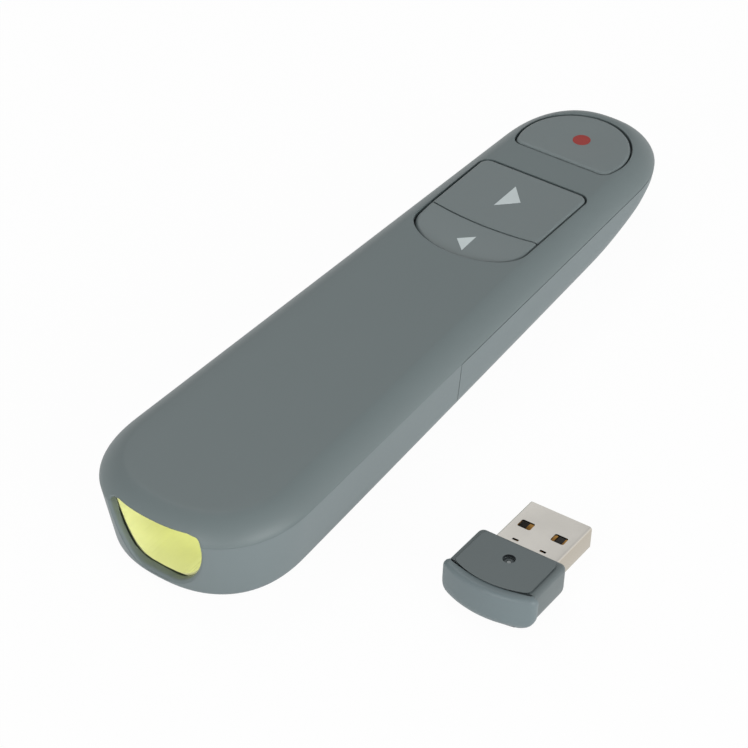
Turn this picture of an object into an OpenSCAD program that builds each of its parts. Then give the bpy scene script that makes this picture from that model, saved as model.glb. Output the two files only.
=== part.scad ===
// Wireless presentation clicker with its USB receiver.
// +Y runs from the tail (receiver bay) to the nose (laser), +X to the right, +Z up.
// The origin is on the underside, half way along the handset. Millimetres.

/* [Handset outline] */
// Length of the handset from tail to nose
body_len = 145; // [142:1:152]
// Width that the tapering sides reach at the tail
tail_width = 39.2; // [37:0.2:41]
// Width that the tapering sides reach at the nose
nose_width = 30.1; // [29.4:0.1:33]
// Length of the rounded tail end
tail_round = 19.3; // [16:0.1:22]
// Length of the rounded nose end
nose_round = 18.2; // [15:0.1:20]
// Squareness of the rounded ends, where 2 is an ellipse
end_power = 2.3; // [2.1:0.1:2.6]

/* [Handset section] */
// Height of the parting line between crown and lower shells
parting_z = 12.6; // [12.4:0.1:13.4]
// Height of the crown above the parting line
crown_h = 4; // [3.8:0.1:4.8]
// Width of the crown's rounded shoulder
crown_edge_w = 4.6; // [4.2:0.2:6]
// Squareness of the crown's shoulder, where 2 is an ellipse
crown_power = 1.5; // [1.4:0.1:2]
// Inward lean of the side walls at the tail
draft_tail = 1.9; // [1.2:0.1:2.2]
// Inward lean of the side walls at the nose
draft_nose = 0.5; // [0.1:0.1:0.8]
// Radius of the lower edge at the tail
edge_r_tail = 1.1; // [1:0.1:2]
// Radius of the lower edge at the nose
edge_r_nose = 9.5; // [7:0.5:10]
// Height that the underside rises to at the nose
nose_rise = 8.5; // [6:0.5:8.5]
// Length of the rising part of the underside
rise_len = 33; // [32:1:50]
// Wall thickness of the shells
wall = 1.6; // [1.4:0.1:1.7]
// Gap between the crown and the front lower shell
parting_gap = 0.2; // [0.1:0.05:0.3]

/* [Battery door] */
// Distance from the tail to the side seam of the door
door_len = 64.5; // [60:0.5:68]
// Half width of the door's tongue under the cells
tongue_half_w = 12; // [11.5:0.1:12.4]
// Gap around the door
door_gap = 0.15; // [0.1:0.05:0.25]
// Number of grip ridges on the door
grip_ridges = 6; // [4:1:8]
// Spacing of the grip ridges
grip_pitch = 2.4; // [2:0.2:3]

/* [Keys] */
// Gap between a key and the edge of its opening
key_gap = 0.35; // [0.2:0.05:0.4]
// Height that the keys stand above the crown
key_proud = 0.15; // [0.1:0.05:0.5]
// Travel of a key
key_travel = 0.3; // [0.2:0.05:0.35]
// Rounding of a key's upper rim
key_rim = 0.7; // [0.4:0.1:0.9]
// Radius of the round side of the laser key
laser_key_r = 11.2; // [10.6:0.1:11.4]
// Distance from the nose to the centre of the laser key's round side
laser_key_in = 16.8; // [16.6:0.1:17.6]
// Distance from that centre back to the laser key's straight side
laser_key_back = 4.9; // [4:0.1:5.4]
// Depth of the finger dish in the laser key
laser_dish = 0.8; // [0.5:0.1:0.9]
// Half width of the next and previous keys
nav_half_w = 11.8; // [11:0.1:12]
// Distance from the nose to the front edge of the next key
nav_front_in = 29.7; // [29.4:0.1:30.6]
// Distance from the nose to the line between the next and previous keys
nav_split_in = 47.6; // [46:0.1:49]
// Bow of that line towards the tail
nav_split_bow = 1.1; // [0.6:0.1:1.4]
// Length of the straight sides of the previous key
prev_side = 4; // [3.4:0.1:4.6]
// Depth of the previous key's round end
prev_round = 7; // [6:0.1:7.4]
// Corner radius of the keys
key_corner_r = 2; // [1.5:0.1:2.4]

/* [Receiver] */
// Width of the metal plug
plug_w = 12; // [11.9:0.05:12.1]
// Height of the metal plug
plug_h = 4.5; // [4.4:0.05:4.6]
// Length of the plug in front of the cap
plug_len = 12; // [11.5:0.1:14]
// Sheet thickness of the metal plug
plug_sheet = 0.3; // [0.25:0.05:0.35]
// Width of the cap
cap_w = 16.6; // [16:0.1:17]
// Height of the cap
cap_h = 6.9; // [6.6:0.1:7.4]
// Length of the cap's straight sides
cap_len = 10.4; // [9:0.1:10.6]
// Bulge of the cap's round end
cap_bulge = 1.5; // [1.2:0.1:1.8]
// Width of the end piece
end_w = 17.6; // [17.5:0.1:18.2]
// Height of the end piece
end_h = 7; // [7:0.1:8]
// Length from the plug's tip to the front of the end piece
receiver_len = 25.6; // [25.4:0.1:27.5]
// Radius of the cap's upper edge
cap_edge_r = 0.9; // [0.8:0.1:1.2]
// Radius of the cap's lower edge
cap_low_r = 2.6; // [1:0.1:2.8]
// Plug tip of the receiver, right of the handset's axis
receiver_x = 48; // [44:0.1:56]
// Plug tip of the receiver, behind the handset's middle
receiver_back = 23; // [10:0.5:30]
// Turn of the receiver where it lies
receiver_turn = 1.7; // [-10:0.1:10]

/* [Receiver bay] */
// Width of the bay's mouth
bay_w = 18.8; // [18.7:0.1:19.4]
// Height of the bay's mouth
bay_h = 11.95; // [11.75:0.05:12]
// Height of the bay's floor
bay_floor_z = 1.85; // [1.85:0.05:2.2]
// Radius of the mouth's upper corners
bay_corner_r = 1.4; // [1.2:0.1:1.8]
// Width of the mouth's oval lower corners
bay_low_w = 6.6; // [5:0.1:7]
// Height of the mouth's oval lower corners
bay_low_h = 10.4; // [8:0.1:10.5]
// Wall thickness of the liner
liner_wall = 0.8; // [0.7:0.1:1]
// Step from the mouth's edge in to the liner
liner_step = 0.25; // [0.2:0.05:0.25]

/* [Cells and tray] */
// Diameter of an AAA cell
cell_d = 10.5; // [10.4:0.05:10.6]
// Length of an AAA cell over its terminal
cell_len = 44.5; // [44.3:0.1:44.8]
// Clearance around the cells
cell_clear = 0.3; // [0.2:0.05:0.4]
// Wall thickness of the tray
tray_wall = 1; // [0.9:0.1:1.2]
// Length of a pressed-in contact spring
spring_len = 2.6; // [2.2:0.1:3]
// Wire diameter of a contact spring
spring_wire = 0.6; // [0.5:0.05:0.7]
// Thickness of the contact plates
plate_t = 0.3; // [0.25:0.05:0.4]

/* [Board and switches] */
// Thickness of the main board
board_t = 1; // [0.8:0.1:1.2]
// Height of the main board's upper face
board_z = 10.4; // [10.2:0.05:10.5]
// Half width of the main board
board_half_w = 9.6; // [9:0.1:10]
// Side of a tactile switch
switch_w = 4.5; // [4:0.1:5]
// Height of a tactile switch's housing
switch_h = 1.6; // [1.5:0.05:1.7]
// Radius of a switch's plunger
plunger_r = 1.15; // [1:0.05:1.2]
// Running clearance around a plunger
plunger_clear = 0.06; // [0.04:0.01:0.08]
// Height that a plunger stands out of its housing
plunger_out = 0.4; // [0.38:0.02:0.5]
// Travel of the power slide
power_travel = 2; // [1.5:0.1:2.5]
// Core radius of the case screws
screw_r = 0.8; // [0.7:0.05:0.9]
// Head radius of the case screws
screw_head_r = 1.5; // [1.4:0.05:1.6]

/* [Laser] */
// Radius of the laser barrel
barrel_r = 2.2; // [2:0.1:2.4]
// Length of the laser barrel
barrel_len = 10; // [8:0.5:11]
// Height of the beam
beam_z = 11.1; // [10.8:0.1:11.2]
// Width of the aperture in the nose
aperture_w = 7; // [6:0.1:7.6]
// Height of the aperture's upper edge
aperture_top = 15.7; // [15.2:0.1:16]
// Height of the aperture's lower edge
aperture_low = 9.4; // [9:0.1:10]
// Depth of the window behind the nose's face
window_set_in = 0.5; // [0.3:0.1:0.8]
// Thickness of the window
window_t = 0.8; // [0.6:0.1:1]

/* [Hidden] */
$fn = 48;

// Places along the handset
tail_y = -body_len / 2;
nose_y = body_len / 2;
crown_z = parting_z + crown_h;
ceiling_z = crown_z - wall;
door_y = tail_y + door_len;
laser_y = nose_y - laser_key_in;
nav_front_y = nose_y - nav_front_in;
nav_split_y = nose_y - nav_split_in;
nav_tail_y = nav_split_y - prev_side - prev_round;

// Handset outline, as points of its right half from the tail's middle to the nose's
end_steps = 14;
side_steps = 12;
edge_steps = 7;
crown_steps = 8;
function mix(a, b, t) = a + (b - a) * t;
function round_in(a) = 1 - pow(cos(a), 2 / end_power);
function side_x(y) = mix(tail_width, nose_width, (y - tail_y) / body_len) / 2;
function end_point(y, a) = [side_x(y) * pow(sin(a), 2 / end_power), y];
edge = concat(
  [for (i = [0 : end_steps])
    let (a = 90 * i / end_steps) end_point(tail_y + tail_round * round_in(a), a)],
  [for (i = [1 : side_steps - 1])
    let (y = mix(tail_y + tail_round, nose_y - nose_round, i / side_steps)) [side_x(y), y]],
  [for (i = [end_steps : -1 : 0])
    let (a = 90 * i / end_steps) end_point(nose_y - nose_round * round_in(a), a)]
);
last = len(edge) - 1;
function outward(path) = let (end = len(path) - 1) [for (i = [0 : end])
  i == 0 ? [0, -1] : i == end ? [0, 1] :
  let (d = path[i + 1] - path[i - 1]) [d.y, -d.x] / norm(d)];
normal = outward(edge);

// Closed ring of points, moved in from a half outline and lifted, both point by point
function ring(inset, z, path = edge, out = normal) =
  let (right = [for (i = [0 : len(path) - 1])
    [path[i].x - out[i].x * inset[i], path[i].y - out[i].y * inset[i], z[i]]])
  concat(right, [for (i = [len(path) - 2 : -1 : 1]) [-right[i].x, right[i].y, right[i].z]]);
function level(inset, z, path = edge, out = normal) =
  ring([for (p = path) inset], [for (p = path) z], path, out);

// Underside of the lower shells: flat, then rising to the nose, with a growing edge radius
function low_z(y) = nose_rise * pow(max(0, 1 - (nose_y - y) / rise_len), 2);
function share(i) = (edge[i].y - tail_y) / body_len;
function base_z(i, off) = low_z(edge[i].y) + off;
function edge_r(i, off) = max(mix(edge_r_tail, edge_r_nose, share(i)) - off, 0.4);
function edge_h(i, off) = min(edge_r(i, off), 0.9 * (parting_z - base_z(i, off)));
function low_lean(i, z, off) =
  mix(draft_tail, draft_nose, share(i)) * (parting_z - z) / (parting_z - base_z(i, off));
function low_rings(off) = [for (k = [edge_steps : -1 : 0])
  let (a = 90 * k / edge_steps, z = [for (i = [0 : last]) base_z(i, off) + edge_h(i, off) * (1 - sin(a))])
  ring([for (i = [0 : last]) off + low_lean(i, z[i], off) + edge_r(i, off) * (1 - cos(a))], z)];
function crown_rings(off) = [for (k = [0 : crown_steps])
  let (a = 90 * k / crown_steps)
  level(off + (crown_edge_w - off) * (1 - pow(cos(a), 2 / crown_power)),
        parting_z + (crown_h - off) * pow(sin(a), 2 / crown_power))];

// Solid through a stack of rings, closed by strips across the first and the last
module loft(rings) {
  n = len(rings[0]);
  last = n / 2;
  top = (len(rings) - 1) * n;
  function left(i) = (n - i) % n;
  polyhedron(
    points = [for (r = rings) each r],
    faces = concat(
      [for (j = [0 : len(rings) - 2], i = [0 : n - 1], half = [0, 1])
        let (a = j * n + i, b = j * n + (i + 1) % n) half == 0 ? [a, a + n, b + n] : [a, b + n, b]],
      [for (i = [0 : last - 1]) if (i < last - 1) [i, i + 1, left(i + 1)] else [i, i + 1, left(i)]],
      [for (i = [1 : last - 2]) [i, left(i + 1), left(i)]],
      [for (i = [0 : last - 1]) if (i < last - 1) [top + i, top + left(i + 1), top + i + 1]
        else [top + i, top + left(i), top + i + 1]],
      [for (i = [1 : last - 2]) [top + i, top + left(i), top + left(i + 1)]]
    )
  );
}
module crown_body(off) loft(off == 0 ? crown_rings(0)
  : concat([level(off, parting_z - 1)], crown_rings(off)));
module low_body(off)
  loft(concat(low_rings(off), [for (up = off == 0 ? [0] : [0, 1]) level(off, parting_z + up)]));
module prism(off, z_low, z_high) loft([level(off, z_low), level(off, z_high)]);

module core(off) loft(concat(low_rings(off), crown_rings(off)));

// Slabs that pick out a stretch of the handset
far = 200;
module slab_y(y_low, y_high) translate([-far / 2, y_low, -far / 2]) cube([far, y_high - y_low, far]);
module slab_z(z_low, z_high) translate([-far / 2, -far / 2, z_low]) cube([far, far, z_high - z_low]);

// Block with rounded upright edges, standing on z = 0
module pad(w, l, h, r) hull()
  for (x = [-1, 1], y = [-1, 1]) translate([x * (w / 2 - r), y * (l / 2 - r), 0]) cylinder(r = r, h = h);

// Key outlines
laser_corner_x = sqrt(pow(laser_key_r - key_corner_r, 2) - pow(laser_key_back - key_corner_r, 2));
module laser_outline(grow) translate([0, laser_y]) hull() {
  intersection() {
    circle(r = laser_key_r + grow, $fn = 96);
    translate([-far / 2, key_corner_r - laser_key_back]) square([far, far]);
  }
  for (side = [-1, 1])
    translate([side * laser_corner_x, key_corner_r - laser_key_back])
      circle(r = key_corner_r + grow, $fn = 32);
}
nav_round_y = nav_split_y - prev_side;
module nav_outline(grow) hull() {
  for (side = [-1, 1])
    translate([side * (nav_half_w - key_corner_r), nav_front_y - key_corner_r])
      circle(r = key_corner_r + grow, $fn = 32);
  polygon([for (a = [180 : 5 : 360])
    [(nav_half_w + grow) * cos(a), nav_round_y + (prev_round + grow) * sin(a)]]);
}
split_r = (nav_half_w * nav_half_w + nav_split_bow * nav_split_bow) / (2 * nav_split_bow);
module split_disc(grow, z_low, z_high)
  translate([0, nav_split_y - nav_split_bow + split_r, z_low])
    cylinder(r = split_r + grow, h = z_high - z_low, $fn = 200);

// Keys: a flange under the crown, a body through the opening and a post down to its switch
flange_clear = 0.1;
flange_t = 0.9;
flange_grow = key_gap + 0.6;
flange_top = ceiling_z - flange_clear;
flange_z = flange_top - flange_t;
key_top = crown_z + key_proud;
switch_top = board_z + switch_h;
post_z = switch_top + plunger_out;
post_r = plunger_r + 0.45;
rim_slice = 0.01;
module key_body(kind) {
  translate([0, 0, flange_z]) linear_extrude(flange_t) key_outline(kind, flange_grow);
  hull() {
    translate([0, 0, flange_z + flange_t / 2])
      linear_extrude(key_top - key_rim - flange_z - flange_t / 2) key_outline(kind, 0);
    for (a = [30 : 30 : 90])
      translate([0, 0, key_top - key_rim * (1 - sin(a)) - rim_slice])
        linear_extrude(rim_slice) key_outline(kind, -key_rim * (1 - cos(a)));
  }
}
module key_outline(kind, grow) {
  if (kind == "laser") laser_outline(grow);
  else nav_outline(grow);
}
module key_post(y) translate([0, y, post_z]) cylinder(r = post_r, h = flange_z - post_z + 0.2);
module key_openings(grow, z_low, z_high) translate([0, 0, z_low]) linear_extrude(z_high - z_low) {
  laser_outline(grow);
  nav_outline(grow);
}

// Switch places
post_gap = 0.6;
laser_switch_y = laser_y - laser_key_back + post_r + post_gap / 2;
next_switch_y = (nav_front_y + nav_split_y) / 2;
prev_switch_y = nav_split_y - nav_split_bow - key_gap - post_r - post_gap;
switch_places = [laser_switch_y, next_switch_y, prev_switch_y];

// Tail mouth, a D lying on its round side, and the receiver bay behind it
mouth_top_z = bay_floor_z + bay_h;
mouth_depth = 7;
liner_gap = 0.1;
receiver_clear = 0.3;
stow_clear = 0.2;
stow_z = mouth_top_z - liner_step - stow_clear - end_h / 2;
bay_back_y = tail_y + receiver_len - plug_len + receiver_clear;
pocket_end_y = bay_back_y + plug_len + receiver_clear;
liner_end_y = pocket_end_y + liner_wall;
module mouth_outline(grow) hull() for (side = [-1, 1]) {
  translate([side * (bay_w / 2 - bay_corner_r), mouth_top_z - bay_corner_r]) circle(r = bay_corner_r + grow);
  translate([side * (bay_w / 2 - bay_low_w), bay_floor_z + bay_low_h])
    polygon([for (a = [180 : 7.5 : 360]) [(bay_low_w + grow) * cos(a), (bay_low_h + grow) * sin(a)]]);
}
module mouth_block(y_low, y_high, grow) translate([0, y_high, 0]) rotate([90, 0, 0])
  linear_extrude(y_high - y_low) mouth_outline(grow);

// Aperture in the nose and its window
aperture_z = (aperture_top + aperture_low) / 2;
aperture_r = 1.2;
window_clear = 0.05;
notch_share = pow((aperture_top - parting_z) / crown_h, crown_power);
notch_y = nose_y - crown_edge_w * (1 - pow(1 - notch_share, 1 / crown_power));
window_y = notch_y - window_t;
module aperture(y_low, grow) translate([0, y_low, aperture_z]) rotate([-90, 0, 0])
  pad(aperture_w + 2 * grow, aperture_top - aperture_low + 2 * grow, nose_y - y_low + 1, aperture_r);

// Cells, tray and contacts, in their order from the tail
tray_gap = 0.2;
dimple_h = 0.8;
tray_y = liner_end_y + tray_gap;
compartment_y = tray_y + tray_wall;
compartment_len = 2 * plate_t + spring_len + cell_len + dimple_h;
tray_end_y = compartment_y + compartment_len + tray_wall;
cell_x = cell_d / 2 + cell_clear / 2;
cell_z = wall + cell_clear + cell_d / 2;
tray_half_w = cell_x + cell_d / 2 + cell_clear + tray_wall;
tray_top = cell_z + cell_d / 2 + cell_clear + tray_wall;
tray_low = wall + cell_clear + 1;
left_cell_y = compartment_y + plate_t + spring_len;
right_cell_y = compartment_y + plate_t + dimple_h;

// Fasteners
screw_clear = 0.05;
screw_end_clear = 0.3;
boss_r = 2;
boss_joint_z = 8;
screw_seat_z = 5.5;
screw_head_t = 1.1;
case_screw_len = 5.2;
boss_gap = 0.4;
boss_side_gap = 0.2;
case_screw_x = board_half_w + boss_r + boss_side_gap;
rear_screw_y = nav_tail_y - flange_grow - boss_r - boss_gap;
front_screw_y = (nav_front_y + laser_y - laser_key_back) / 2;
case_screw_places = [for (y = [rear_screw_y, front_screw_y], side = [-1, 1]) [side * case_screw_x, y]];
board_screw_places = [[0, rear_screw_y], [0, front_screw_y]];
small_screw_len = 3.4;
small_head_r = screw_head_r - 0.2;
tray_tab_t = 1;
tray_tab_drop = 2.6;
tray_tab_z = tray_top - tray_tab_drop;
tray_screw_x = tray_half_w + small_head_r + 0.1;
tray_tab_r = small_head_r + 0.4;
tray_screw_y = mix(tray_y, door_y, 0.5);
tray_screw_places = [for (side = [-1, 1]) [side * tray_screw_x, tray_screw_y]];

module at_places(places) for (p = places) translate([p.x, p.y, 0]) children();
cross_w = 0.4;
cross_deep = 0.5;
module screw(seat_z, length, head_r) translate([0, 0, seat_z - screw_head_t]) difference() {
  union() {
    cylinder(r = head_r, h = screw_head_t);
    cylinder(r = screw_r, h = length + screw_head_t);
  }
  for (turn = [0, 90]) rotate(turn)
    translate([-screw_r, -cross_w / 2, cross_deep - 1]) cube([2 * screw_r, cross_w, 1]);
}

// Shells
rib_t = 1;
rib_h = 1.2;
lip_t = 0.75;
lip_h = 1.4;
lip_root = 1.8;
lip_clear = 0.55;
well_clear = 0.3;
module hanging_posts(places, z_low, r)
  at_places(places) translate([0, 0, z_low]) cylinder(r = r, h = crown_z - z_low);
module pilot_holes(places, tip_z)
  at_places(places) cylinder(r = screw_r + screw_clear, h = tip_z + screw_end_clear);
module top_shell() color([0.41, 0.45, 0.455]) difference() {
  union() {
    difference() {
      crown_body(0);
      crown_body(wall);
    }
    difference() {
      prism(wall + lip_clear, parting_z - lip_h, parting_z + lip_root);
      prism(wall + lip_clear + lip_t, parting_z - lip_h - 1, parting_z + lip_root + 1);
      slab_y(tail_y - 1, tail_y + tail_round);
      slab_y(nose_y - nose_round, nose_y + 1);
    }
    intersection() {
      union() {
        hanging_posts(case_screw_places, boss_joint_z, boss_r);
        hanging_posts(board_screw_places, board_z, boss_r);
        hanging_posts(tray_screw_places, tray_tab_z + tray_tab_t, small_head_r);
        hull() hanging_posts([case_screw_places[0], case_screw_places[1]], ceiling_z - rib_h, rib_t / 2);
      }
      core(0);
    }
  }
  key_openings(key_gap, parting_z, crown_z + 1);
  key_openings(flange_grow + well_clear, parting_z - lip_h - 1, ceiling_z);
  mouth_block(tail_y - 1, tail_y + mouth_depth, 0);
  aperture(window_y, 0);
  pilot_holes(case_screw_places, screw_seat_z + case_screw_len);
  pilot_holes(board_screw_places, board_z - board_t + small_screw_len);
  pilot_holes(tray_screw_places, tray_tab_z + small_screw_len);
}

tongue_end_y = tray_end_y + 1;
tongue_r = 3;
tongue_root = 5;
tongue_len = tongue_end_y - door_y + tongue_root;
module tongue(grow) translate([0, tongue_end_y - tongue_len / 2, -1])
  pad(2 * (tongue_half_w + grow), tongue_len + 2 * grow, parting_z / 2 + 1, tongue_r);
barrel_gap = 2;
barrel_y = laser_switch_y + switch_w / 2 + barrel_gap;
cradle_t = 3;
power_y = (next_switch_y + prev_switch_y) / 2;
knob_w = 5.4;
knob_len = 8;
knob_set_in = 0.4;
knob_t = 0.75;
knob_z = low_z(power_y) + knob_set_in;
knob_seat_z = knob_z + knob_t;
slot_w = 2.4;
stem_w = 1.8;
stem_len = 2.4;
slide_clear = 0.3;
slide_room = power_travel + 2 * slide_clear;
module bottom_shell() color([0.43, 0.47, 0.475]) difference() {
  union() {
    difference() {
      low_body(0);
      low_body(wall);
    }
    intersection() {
      at_places(case_screw_places) cylinder(r = boss_r, h = boss_joint_z - screw_clear);
      low_body(0);
    }
    intersection() {
      translate([-barrel_r - wall, barrel_y + cradle_t, 0])
        cube([2 * (barrel_r + wall), cradle_t, board_z - board_t - screw_clear]);
      low_body(0);
    }
  }
  slab_y(tail_y - 1, door_y + door_gap);
  slab_z(parting_z - parting_gap, parting_z + 2);
  tongue(door_gap);
  at_places(case_screw_places) translate([0, 0, -1])
    cylinder(r = screw_head_r + well_clear, h = screw_seat_z + 1);
  at_places(case_screw_places) cylinder(r = screw_r + 4 * screw_clear, h = boss_joint_z);
  translate([0, barrel_y, beam_z]) rotate([-90, 0, 0]) cylinder(r = barrel_r + screw_clear, h = barrel_len);
  translate([0, power_y + power_travel / 2, -1])
    pad(knob_w + 2 * slide_clear, knob_len + slide_room, knob_seat_z + screw_clear + 1, 1);
  translate([0, power_y + power_travel / 2, 0])
    pad(slot_w, stem_len + slide_room, wall * 2, 1);
  aperture(window_y, 0);
}

grip_in = 36;
grip_y = tail_y + grip_in;
ridge_r = 0.4;
ridge_half_w = 6;
module battery_door() color([0.42, 0.46, 0.465]) difference() {
  intersection() {
    low_body(0);
    union() {
      slab_y(tail_y - 1, door_y);
      tongue(0);
    }
  }
  low_body(wall);
  slab_z(parting_z - door_gap, parting_z + 2);
  mouth_block(tail_y - 1, tail_y + mouth_depth, 0);
  for (i = [0 : grip_ridges - 1])
    translate([0, grip_y + i * grip_pitch, 0]) hull()
      for (side = [-1, 1])
        translate([side * ridge_half_w, 0, 0]) sphere(r = ridge_r, $fn = 16);
}

// Receiver bay: a coloured box behind the mouth with a pocket for the plug at its back
plug_clear = 0.15;
module plug_block(y_high, grow)
  translate([-plug_w / 2 - plug_clear - grow, bay_back_y - 1, stow_z - plug_h / 2 - plug_clear - grow])
    cube([plug_w + 2 * (plug_clear + grow), y_high - bay_back_y + 1, plug_h + 2 * (plug_clear + grow)]);
module receiver_bay() color([0.86, 0.88, 0.45]) difference() {
  union() {
    intersection() {
      mouth_block(tail_y, bay_back_y + liner_wall, liner_wall - liner_step);
      core(wall + liner_gap);
    }
    plug_block(liner_end_y, liner_wall);
  }
  mouth_block(tail_y - 1, bay_back_y, -liner_step);
  plug_block(pocket_end_y, 0);
}

// Keys
dish_r = (laser_key_r + laser_key_back) / 2 - key_rim;
dish_ball_r = (dish_r * dish_r + laser_dish * laser_dish) / (2 * laser_dish);
dish_y = laser_y + (laser_key_r - laser_key_back) / 2;
prev_slope = 4;
module laser_button() color([0.5, 0.54, 0.545]) difference() {
  union() {
    key_body("laser");
    key_post(laser_switch_y);
  }
  translate([0, dish_y, key_top - laser_dish + dish_ball_r]) sphere(r = dish_ball_r, $fn = 200);
}
module next_button() color([0.49, 0.53, 0.535]) union() {
  intersection() {
    key_body("nav");
    split_disc(-key_gap / 2, 0, key_top + 1);
  }
  key_post(next_switch_y);
}
module previous_button() color([0.5, 0.54, 0.545]) union() {
  difference() {
    key_body("nav");
    split_disc(key_gap / 2, 0, key_top + 1);
    translate([-far / 2, nav_split_y, key_top]) rotate([prev_slope, 0, 0])
      translate([0, -far / 2, 0]) cube([far, far / 2, crown_h]);
  }
  key_post(prev_switch_y);
}

// Tactile switches and their plungers
plunger_raise = 0.75;
plunger_floor_clear = 0.1;
plunger_low = board_z + plunger_raise;
bore_floor = plunger_low - key_travel - plunger_floor_clear;
terminal = [1, 0.8, 0.2];
module plunger(y) color([0.15, 0.15, 0.16])
  translate([0, y, plunger_low]) cylinder(r = plunger_r, h = post_z - plunger_low);
module laser_plunger() plunger(laser_switch_y);
module next_plunger() plunger(next_switch_y);
module previous_plunger() plunger(prev_switch_y);
module tact_switches() color([0.2, 0.2, 0.21]) for (y = switch_places) difference() {
  union() {
    translate([-switch_w / 2, y - switch_w / 2, board_z]) cube([switch_w, switch_w, switch_h]);
    for (side = [-1, 1], end = [-1, 1])
      translate([side * (switch_w + terminal.x) / 2, y + end * switch_w / 4, board_z + terminal.z / 2])
        cube(terminal, center = true);
  }
  translate([0, y, bore_floor]) cylinder(r = plunger_r + plunger_clear, h = switch_h + 1);
}

// Main board and what is soldered to it
board_tray_gap = 0.6;
board_nose_gap = 10.5;
board_taper = 1.4;
barrel_side_gap = 0.25;
barrel_back_gap = 0.8;
board_start_y = tray_end_y + board_tray_gap;
board_end_y = nose_y - board_nose_gap;
board_neck_y = laser_y - laser_key_back;
board_neck_half_w = board_half_w - board_taper;
notch_half_w = barrel_r + barrel_side_gap;
notch_back_y = barrel_y - barrel_back_gap;
module main_board() color([0.1, 0.35, 0.2]) translate([0, 0, board_z - board_t]) difference() {
  linear_extrude(board_t) polygon([
    [-board_half_w, board_start_y], [board_half_w, board_start_y], [board_half_w, board_neck_y],
    [board_neck_half_w, board_end_y], [notch_half_w, board_end_y], [notch_half_w, notch_back_y],
    [-notch_half_w, notch_back_y], [-notch_half_w, board_end_y], [-board_neck_half_w, board_end_y],
    [-board_half_w, board_neck_y]
  ]);
  at_places(board_screw_places) translate([0, 0, -1])
    cylinder(r = screw_r + 4 * screw_clear, h = board_t + 2);
}
radio = [11, 9, 2];
radio_gap = 0.8;
radio_y = front_screw_y - small_head_r - radio_gap;
chip = [5, 5, 0.9];
crystal_size = [3.2, 2.5, 0.8];
chip_x = 5.4;
module radio_module() color([0.75, 0.76, 0.78])
  translate([-radio.x / 2, radio_y - radio.y, board_z - board_t - radio.z]) cube(radio);
module controller_chip() color([0.08, 0.08, 0.09])
  translate([-chip_x - chip.x / 2, power_y - chip.y / 2, board_z]) cube(chip);
module crystal() color([0.8, 0.8, 0.82])
  translate([chip_x - crystal_size.x / 2, power_y - crystal_size.y / 2, board_z]) cube(crystal_size);

// Power slide: a knob in the underside whose stem runs in a switch under the board
slide_w = 4;
slide_len = 8.6;
slide_h = 3.6;
slide_z = board_z - board_t - slide_h;
stem_in = 1.6;
collar_w = 4.4;
collar_t = 0.6;
module slide_switch() color([0.62, 0.63, 0.65]) difference() {
  translate([-slide_w / 2, power_y + (power_travel - slide_len) / 2, slide_z])
    cube([slide_w, slide_len, slide_h]);
  translate([-stem_w / 2 - slide_clear, power_y - stem_len / 2 - slide_clear, slide_z - 1])
    cube([stem_w + 2 * slide_clear, stem_len + slide_room, stem_in + slide_clear + 1]);
}
module power_slider() color([0.2, 0.21, 0.22]) union() {
  translate([0, power_y, knob_z]) linear_extrude(knob_t) square([knob_w, knob_len], center = true);
  translate([-stem_w / 2, power_y - stem_len / 2, knob_z])
    cube([stem_w, stem_len, slide_z + stem_in - knob_z]);
  translate([-collar_w / 2, power_y - stem_len / 2, wall + low_z(power_y) + slide_clear])
    cube([collar_w, stem_len, collar_t]);
}

// Laser
lens_r = 1.4;
lens_t = 0.8;
lens_set_in = 0.4;
lens_y = barrel_y + barrel_len - lens_set_in - lens_t;
barrel_base_t = 1.5;
bore_r = lens_r + 0.05;
module laser_barrel() color([0.72, 0.58, 0.3])
  translate([0, barrel_y, beam_z]) rotate([-90, 0, 0]) difference() {
    cylinder(r = barrel_r, h = barrel_len);
    translate([0, 0, barrel_base_t]) cylinder(r = bore_r, h = barrel_len);
  }
module laser_lens() color([0.8, 0.85, 0.9])
  translate([0, lens_y, beam_z]) rotate([-90, 0, 0]) cylinder(r = lens_r, h = lens_t);
module laser_window() color([0.25, 0.05, 0.05]) intersection() {
  aperture(window_y + window_clear, -window_clear);
  core(window_set_in);
}

// Cells, tray, springs and contact plates
nub_len = 1;
nub_r = 1.9;
module cell(shade, y, nub_at_nose) color(shade) translate([0, y, cell_z]) rotate([-90, 0, 0]) union() {
  translate([0, 0, nub_at_nose ? 0 : nub_len]) cylinder(r = cell_d / 2, h = cell_len - nub_len);
  translate([0, 0, nub_at_nose ? cell_len / 2 : 0]) cylinder(r = nub_r, h = cell_len / 2);
}
module left_cell() translate([-cell_x, 0, 0]) cell([0.3, 0.55, 0.35], left_cell_y, true);
module right_cell() translate([cell_x, 0, 0]) cell([0.3, 0.55, 0.35], right_cell_y, false);
module battery_tray() color([0.16, 0.17, 0.18]) difference() {
  union() {
    translate([-tray_half_w, tray_y, tray_low])
      cube([2 * tray_half_w, tray_end_y - tray_y, tray_top - tray_low]);
    for (p = tray_screw_places) hull() {
      translate([p.x, p.y, tray_tab_z]) cylinder(r = tray_tab_r, h = tray_tab_t);
      translate([sign(p.x) * (tray_half_w - tray_wall - tray_tab_r), p.y, tray_tab_z])
        cylinder(r = tray_tab_r, h = tray_tab_t);
    }
  }
  translate([-tray_half_w + tray_wall, compartment_y, -1])
    cube([2 * (tray_half_w - tray_wall), compartment_len, tray_top - tray_wall + 1]);
  at_places(tray_screw_places) cylinder(r = screw_r + 4 * screw_clear, h = tray_top);
}
coil_turns = 3;
coil_steps = 12;
coil_sides = 8;
coil_r_wide = 3.4;
coil_r_small = 2;
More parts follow.
